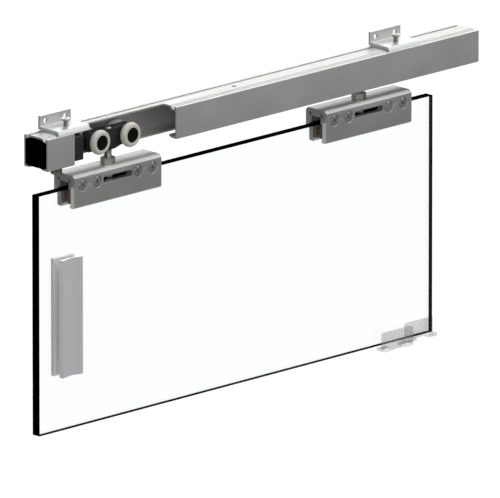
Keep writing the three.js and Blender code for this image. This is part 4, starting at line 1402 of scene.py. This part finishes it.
def countersink(x):
    """One screw's countersunk hole through the jaw."""
    head = CLAMP_HEAD / 2 + SEAT_GAP
    shank = CLAMP_SCREW / 2 + SEAT_GAP
    rim = CLAMP_FRONT + CLAMP_SINK + SEAT_GAP
    profile = [
        (0, CLAMP_FRONT - 1),
        (COUNTERBORE_RADIUS, CLAMP_FRONT - 1),
        (COUNTERBORE_RADIUS, CLAMP_FRONT + CLAMP_SINK),
        (head, CLAMP_FRONT + CLAMP_SINK),
        (head, rim),
        (shank, rim + CLAMP_CONE),
        (shank, JAW_INNER + 1),
        (0, JAW_INNER + 1),
    ]
    return turned("countersink", profile, None, at(x, 0, WINDOW_Z), "y")


def screw_places(side):
    """Where the four clamp screws of one clamp are, along the rail."""
    spans = [span(f"clamp_screw_{side}_{n + 1}") for n in range(SCREW_COUNT)]
    return [(low.x + high.x) / 2 for low, high in spans]


def nut_recess(x):
    """The shallow milled seat round the bolt, open to the back."""
    arc = [math.pi * (1 + step / 24) for step in range(25)]
    outline = [(x + NUT_RECESS_RADIUS * math.cos(a), MID_Y + NUT_RECESS_RADIUS * math.sin(a)) for a in arc]
    outline += [(x + NUT_RECESS_RADIUS, CLAMP_BACK + 2), (x - NUT_RECESS_RADIUS, CLAMP_BACK + 2)]
    return extruded("recess", outline, "z", CLAMP_TOP - NUT_RECESS_DEPTH, CLAMP_TOP + 2, None)


for side in SIDES:
    low, high = span(f"clamp_body_{side}")
    middle = (low.x + high.x) / 2
    jaw = extruded(f"clamp_front_jaw_{side}", jaw_section(), "x", low.x, high.x, clamp_aluminium)
    carved(jaw, [window_cutter(middle, CLAMP_FRONT - OVERRUN, JAW_INNER + OVERRUN)])
    carved(jaw, [countersink(x) for x in screw_places(side)])
    eased(jaw, 0.2)
    belongs(jaw, "door", "clamp_aluminium", f"clamp_jaw_{side}")

    body = extruded(f"clamp_main_body_{side}", body_section(), "x", low.x, high.x, clamp_aluminium)
    reach = span(f"clamp_screw_{side}_1")[1].y + SEAT_GAP
    screw_holes = [
        drill(CLAMP_SCREW / 2 + SEAT_GAP, JAW_INNER, reach, at(x, 0, WINDOW_Z), "y")
        for x in screw_places(side)
    ]
    port_z = CLAMP_TOP - PORT_BELOW_TOP
    ports = [
        drill(PORT_RADIUS, low.x - OVERRUN, high.x + OVERRUN, at(0, MID_Y + offset, port_z), "x")
        for offset in (-PORT_OFFSET, PORT_OFFSET)
    ]
    bolt_hole = drill(BOLT / 2 + 2 * SEAT_GAP, CHANNEL_TOP - 1, CLAMP_TOP + 1, at(middle, MID_Y, 0))
    window = window_cutter(middle, JAW_INNER, MID_Y)
    carved(body, [window, *screw_holes, *ports, bolt_hole, nut_recess(middle)])
    eased(body, 0.2)
    belongs(body, "door", "clamp_aluminium", f"clamp_body_{side}")
    print(body.name, "faces:", len(body.data.polygons), "and jaw", len(jaw.data.polygons))

# %% Clamp screws


def clamp_screw(length):
    """A countersunk socket screw hanging below its head's face at the origin, head up."""
    head = [
        (0, 0),
        (CLAMP_HEAD / 2 - 0.25, 0),
        (CLAMP_HEAD / 2, -0.2),
        (CLAMP_SCREW / 2 - 0.1, -CLAMP_CONE),
        (CLAMP_SCREW / 2 - 0.1, -CLAMP_CONE - 0.6),
        (0, -CLAMP_CONE - 0.6),
    ]
    screw = turned("clamp screw", head, clamp_screw_steel)
    carved(screw, [socket_cutter(CLAMP_SOCKET, -CLAMP_SOCKET_DEPTH, 1)])
    shank = threaded("shank", CLAMP_SCREW, 0.8, -length, -CLAMP_CONE, 0, clamp_screw_steel)
    return carved(screw, [shank], "UNION")


low, high = span("clamp_screw_left_1")
screw_pattern = pattern(clamp_screw(high.y - low.y))
for seed, side in enumerate(SIDES):
    places = [(x, low.y, WINDOW_Z) for x in screw_places(side)]
    turns = (2 * math.pi, seed + 7)
    row = set_out(f"clamp_screws_{side}", screw_pattern, places, TO_FRONT, clamp_screw_steel, *turns)
    belongs(row, "door", "clamp_screw_steel", *(f"clamp_screw_{side}_{n + 1}" for n in range(SCREW_COUNT)))
    print(row.name, "faces:", len(row.data.polygons))

# %% [markdown]
# The gaskets are rubber strips with small ribs on the glass side, which bite evenly when
# the jaw closes. The ribs are part of the section, a row of half-sine bumps.

# %% Gaskets
RIB_PITCH = 2.3
RIB_HEIGHT = 0.35
RIB_STEPS = 8


def gasket_section(low, high, glass_side):
    """Flat back, ribbed face towards the glass."""
    ribs = round((high.z - low.z) / RIB_PITCH)
    back, face = (low.y, high.y) if glass_side > 0 else (high.y, low.y)
    steps = ribs * RIB_STEPS
    ribbed = [
        (
            face - glass_side * RIB_HEIGHT * (1 - abs(math.sin(math.pi * step / RIB_STEPS))),
            low.z + (high.z - low.z) * step / steps,
        )
        for step in range(steps + 1)
    ]
    return [(back, low.z), *ribbed, (back, high.z)]


for side in SIDES:
    for row, glass_side in (("front", 1), ("rear", -1)):
        node = f"clamp_gasket_{side}_{row}"
        low, high = span(node)
        section = gasket_section(low, high, glass_side)
        strip = extruded(f"{node}_ribbed", section, "x", low.x, high.x, gasket_rubber)
        creased(strip)
        belongs(strip, "door", "gasket_rubber", node)
print("gaskets: 4, with", round((high.z - low.z) / RIB_PITCH), "ribs each")

# %% [markdown]
# ## The glass
#
# A ten millimetre pane. The edges are ground with a small arris, and they carry the edge
# material, near black as a painted dark reflection, on the bevel and the four sides, while
# the two faces stay clear.

# %% Glass panel
ARRIS = 0.4


def glass_panel():
    """A pane whose narrow sides use the second material."""
    low, high = span("glass_panel")
    outline = [(low.x, low.z), (high.x, low.z), (high.x, high.z), (low.x, high.z)]
    pane = extruded("glass_pane", outline, "y", low.y, high.y, door_glass)
    pane.data.materials.append(glass_edge_painted_dark)
    for face in pane.data.polygons:
        face.material_index = 0 if abs(face.normal.y) > 0.5 else 1
    eased(pane, ARRIS, 1)
    pane.modifiers[0].material = 1
    return pane


glass = belongs(glass_panel(), "door", "door_glass", "glass_panel")
print("glass faces:", len(glass.data.polygons))

# %% [markdown]
# ## Pull grips
#
# One bright extrusion on each face of the glass, back to back. The section is a shallow
# scoop for the fingers, deeper towards one rim, and the ends are cut square.

# %% Pull grips
GRIP_RIM = 4.0
GRIP_SCOOP = 2.6
GRIP_FAR_RIM = 1.2
SCOOP_STEPS = 20
SCOOP_LEAN = 1.4


def grip_section(low, high, outwards_sign):
    """Flat bonded face, square rims and the scoop between them, in plan."""
    width = high.x - low.x
    thickness = high.y - low.y
    bonded = low.y if outwards_sign > 0 else high.y
    scoop_end = width - GRIP_RIM
    scoop = []
    for step in range(SCOOP_STEPS + 1):
        share = step / SCOOP_STEPS
        depth = GRIP_SCOOP * math.sin(math.pi * share**SCOOP_LEAN)
        scoop.append((GRIP_FAR_RIM + (scoop_end - GRIP_FAR_RIM) * share, thickness - depth))
    profile = [(0, 0), (width, 0), (width, thickness), *scoop[::-1], (0, thickness)]
    return softened([(low.x + u, bonded + outwards_sign * v) for u, v in profile], 0.4)


for row, outwards_sign in (("front", -1), ("rear", 1)):
    low, high = span(f"pull_grip_{row}")
    section = grip_section(low, high, outwards_sign)
    grip = extruded(f"pull_grip_{row}_extrusion", section, "z", low.z, high.z, grip_aluminium)
    belongs(eased(grip, 0.25), "door", "grip_aluminium", f"pull_grip_{row}")
    low, high = span(f"grip_pad_{row}")
    outline = oblong(low.x, high.x, low.z, high.z, 1.5)
    pad = extruded(f"grip_bonding_pad_{row}", outline, "y", low.y, high.y, bonding_pad)
    belongs(creased(pad), "door", "bonding_pad", f"grip_pad_{row}")
    print(grip.name, "faces:", len(grip.data.polygons))

# %% [markdown]
# ## Floor guides
#
# Two smoke-grey plates stand on the floor, one on each side of the glass, and keep its
# lower edge from swinging. Each has two small screwed feet.

# %% Floor guides
GUIDE_PLATE = 3.0
GUIDE_OVERHANG = 2.0
GUIDE_FOOT = 13.0
GUIDE_FOOT_TOP = 2.5
GUIDE_FOOT_CORNER = 3.0
GUIDE_CORNER = 1.5
GUIDE_HOLE_RADIUS = 2.1


def floor_guide(row, outwards_sign):
    """An upright plate joined to two feet with countersunk holes."""
    low, high = span(f"floor_guide_{row}")
    far = high.y if outwards_sign > 0 else low.y
    near = far - outwards_sign * GUIDE_FOOT
    plate_near = far - outwards_sign * (GUIDE_OVERHANG + GUIDE_PLATE)
    plate = sorted((far - outwards_sign * GUIDE_OVERHANG, plate_near))
    upright = [
        (low.x, low.z),
        (high.x, low.z),
        (high.x, high.z - GUIDE_CORNER),
        (high.x - GUIDE_CORNER, high.z),
        (low.x + GUIDE_CORNER, high.z),
        (low.x, high.z - GUIDE_CORNER),
    ]
    guide = extruded(f"floor_guide_{row}_moulding", softened(upright, 0.8), "y", *plate, guide_plastic)
    hole_y = (near + plate_near) / 2
    foot_y = sorted((near, far))
    holes = []
    for start in (low.x, high.x - GUIDE_FOOT):
        pad = oblong(start, start + GUIDE_FOOT, *foot_y, GUIDE_FOOT_CORNER)
        carved(guide, [extruded("foot", pad, "z", low.z, low.z + GUIDE_FOOT_TOP, guide_plastic)], "UNION")
        profile = [
            (0, low.z - 1),
            (GUIDE_HOLE_RADIUS, low.z - 1),
            (GUIDE_HOLE_RADIUS, low.z + 1.2),
            (GUIDE_HOLE_RADIUS + 1.3, low.z + GUIDE_FOOT_TOP),
            (GUIDE_HOLE_RADIUS + 1.3, low.z + GUIDE_FOOT_TOP + 1),
            (0, low.z + GUIDE_FOOT_TOP + 1),
        ]
        holes.append(turned("hole", profile, None, at(start + GUIDE_FOOT / 2, hole_y, 0)))
    carved(guide, holes)
    return eased(guide, 0.3, clamp=True)


for row, outwards_sign in (("front", -1), ("rear", 1)):
    guide = belongs(floor_guide(row, outwards_sign), "rail", "guide_plastic", f"floor_guide_{row}")
    print(guide.name, "faces:", len(guide.data.polygons))

# %% [markdown]
# ## Studio
#
# A product table: a seamless pale floor that the camera sees as evenly lit white, and
# soft lamps that shape the metal. What a metal face shows is whatever lies along its
# mirror direction, so a large panel stands behind the rail for the bright top faces, and a
# soft one beside the camera opens up the wheels, the screws and the window.

# %% Floor
FLOOR_HALF = 120.0
floor_z = cad_low.z


def floor_material():
    """Pale table: even white to the eye, and a dimmer grey in what reflects it."""
    material = bpy.data.materials.new("studio floor")
    material.use_nodes = True
    tree = material.node_tree
    path = add(tree, "ShaderNodeLightPath")
    seen = add(
        tree,
        "ShaderNodeMath",
        {0: path.outputs["Is Camera Ray"], 1: path.outputs["Is Transmission Ray"]},
        operation="MAXIMUM",
    )
    dim = add(tree, "ShaderNodeBsdfDiffuse", {"Color": linear("8C8C8C")})
    bright = add(tree, "ShaderNodeEmission", {"Color": (1, 1, 1, 1), "Strength": 1.07})
    mixed = add(tree, "ShaderNodeMixShader", {0: seen.outputs[0], 1: dim.outputs[0], 2: bright.outputs[0]})
    tree.links.new(mixed.outputs[0], tree.nodes["Material Output"].inputs["Surface"])
    return material


floor_mesh = bpy.data.meshes.new("floor")
floor_corners = [(-1, -1), (1, -1), (1, 1), (-1, 1)]
floor_mesh.from_pydata([(x * FLOOR_HALF, y * FLOOR_HALF, floor_z) for x, y in floor_corners], [], [range(4)])
floor_mesh.materials.append(floor_material())
floor = shown("floor", floor_mesh)
print("floor at", round(floor_z, 4), "m")

# %% Lights
AIM = Vector((0.26, 0, -0.1))


def panel(name, direction, distance, width, height, power):
    """A soft rectangular lamp that faces the hardware from a direction, in metres and watts."""
    lamp = bpy.data.lights.new(name, "AREA")
    lamp.shape = "RECTANGLE"
    lamp.size = width
    lamp.size_y = height
    lamp.energy = power
    stand = bpy.data.objects.new(name, lamp)
    heading = Vector(direction).normalized()
    stand.location = AIM + heading * distance
    stand.rotation_euler = heading.to_track_quat("Z", "Y").to_euler()
    bpy.context.scene.collection.objects.link(stand)
    return stand


panel("overhead", (0.1, -0.35, 1), 2.6, 3.0, 2.0, 26)
panel("behind right", (0.60, 0.62, 0.50), 3.4, 3.2, 1.3, 40)
panel("front right", (0.67, -0.45, 0.6), 3.0, 1.6, 1.2, 14)
panel("beside the camera", (-0.7, -0.7, 0.25), 4.0, 2.0, 1.6, 22)

world = bpy.data.worlds.new("studio")
world.use_nodes = True
bpy.context.scene.world = world
sky = world.node_tree
path = add(sky, "ShaderNodeLightPath")
strength = add(
    sky, "ShaderNodeMapRange", {"Value": path.outputs["Is Camera Ray"], "To Min": 0.3, "To Max": 1.07}
)
sky.links.new(strength.outputs[0], sky.nodes["Background"].inputs["Strength"])
sky.nodes["Background"].inputs["Color"].default_value = linear("F4F6F8")
print("lamps:", len(bpy.data.lights))

# %% [markdown]
# A long lens from well away keeps the rail's edges almost parallel, as a catalogue view
# does. The camera stands 44.5 degrees to the left of the front and 15.5 degrees above it.

# %% Camera
AZIMUTH = math.radians(-44.5)
ELEVATION = math.radians(15.47)
LENS = 1650.0
SENSOR = 36.0
VIEW_WIDTH = 0.49725  # m across the picture at the hardware
VIEW_CENTRE = at(294.1, 15.5, -138.4)

camera_data = bpy.data.cameras.new("camera")
camera_data.lens = LENS
camera_data.sensor_width = SENSOR
camera_data.clip_end = 500
camera = bpy.data.objects.new("camera", camera_data)
bpy.context.scene.collection.objects.link(camera)
bpy.context.scene.camera = camera
level = math.cos(ELEVATION)
towards_eye = Vector((math.sin(AZIMUTH) * level, -math.cos(AZIMUTH) * level, math.sin(ELEVATION)))
camera.location = VIEW_CENTRE + towards_eye * (VIEW_WIDTH * LENS / SENSOR)
camera.rotation_euler = towards_eye.to_track_quat("Z", "Y").to_euler()
bpy.context.scene.view_settings.view_transform = "Standard"
print("camera", round(VIEW_WIDTH * LENS / SENSOR, 2), "m away")
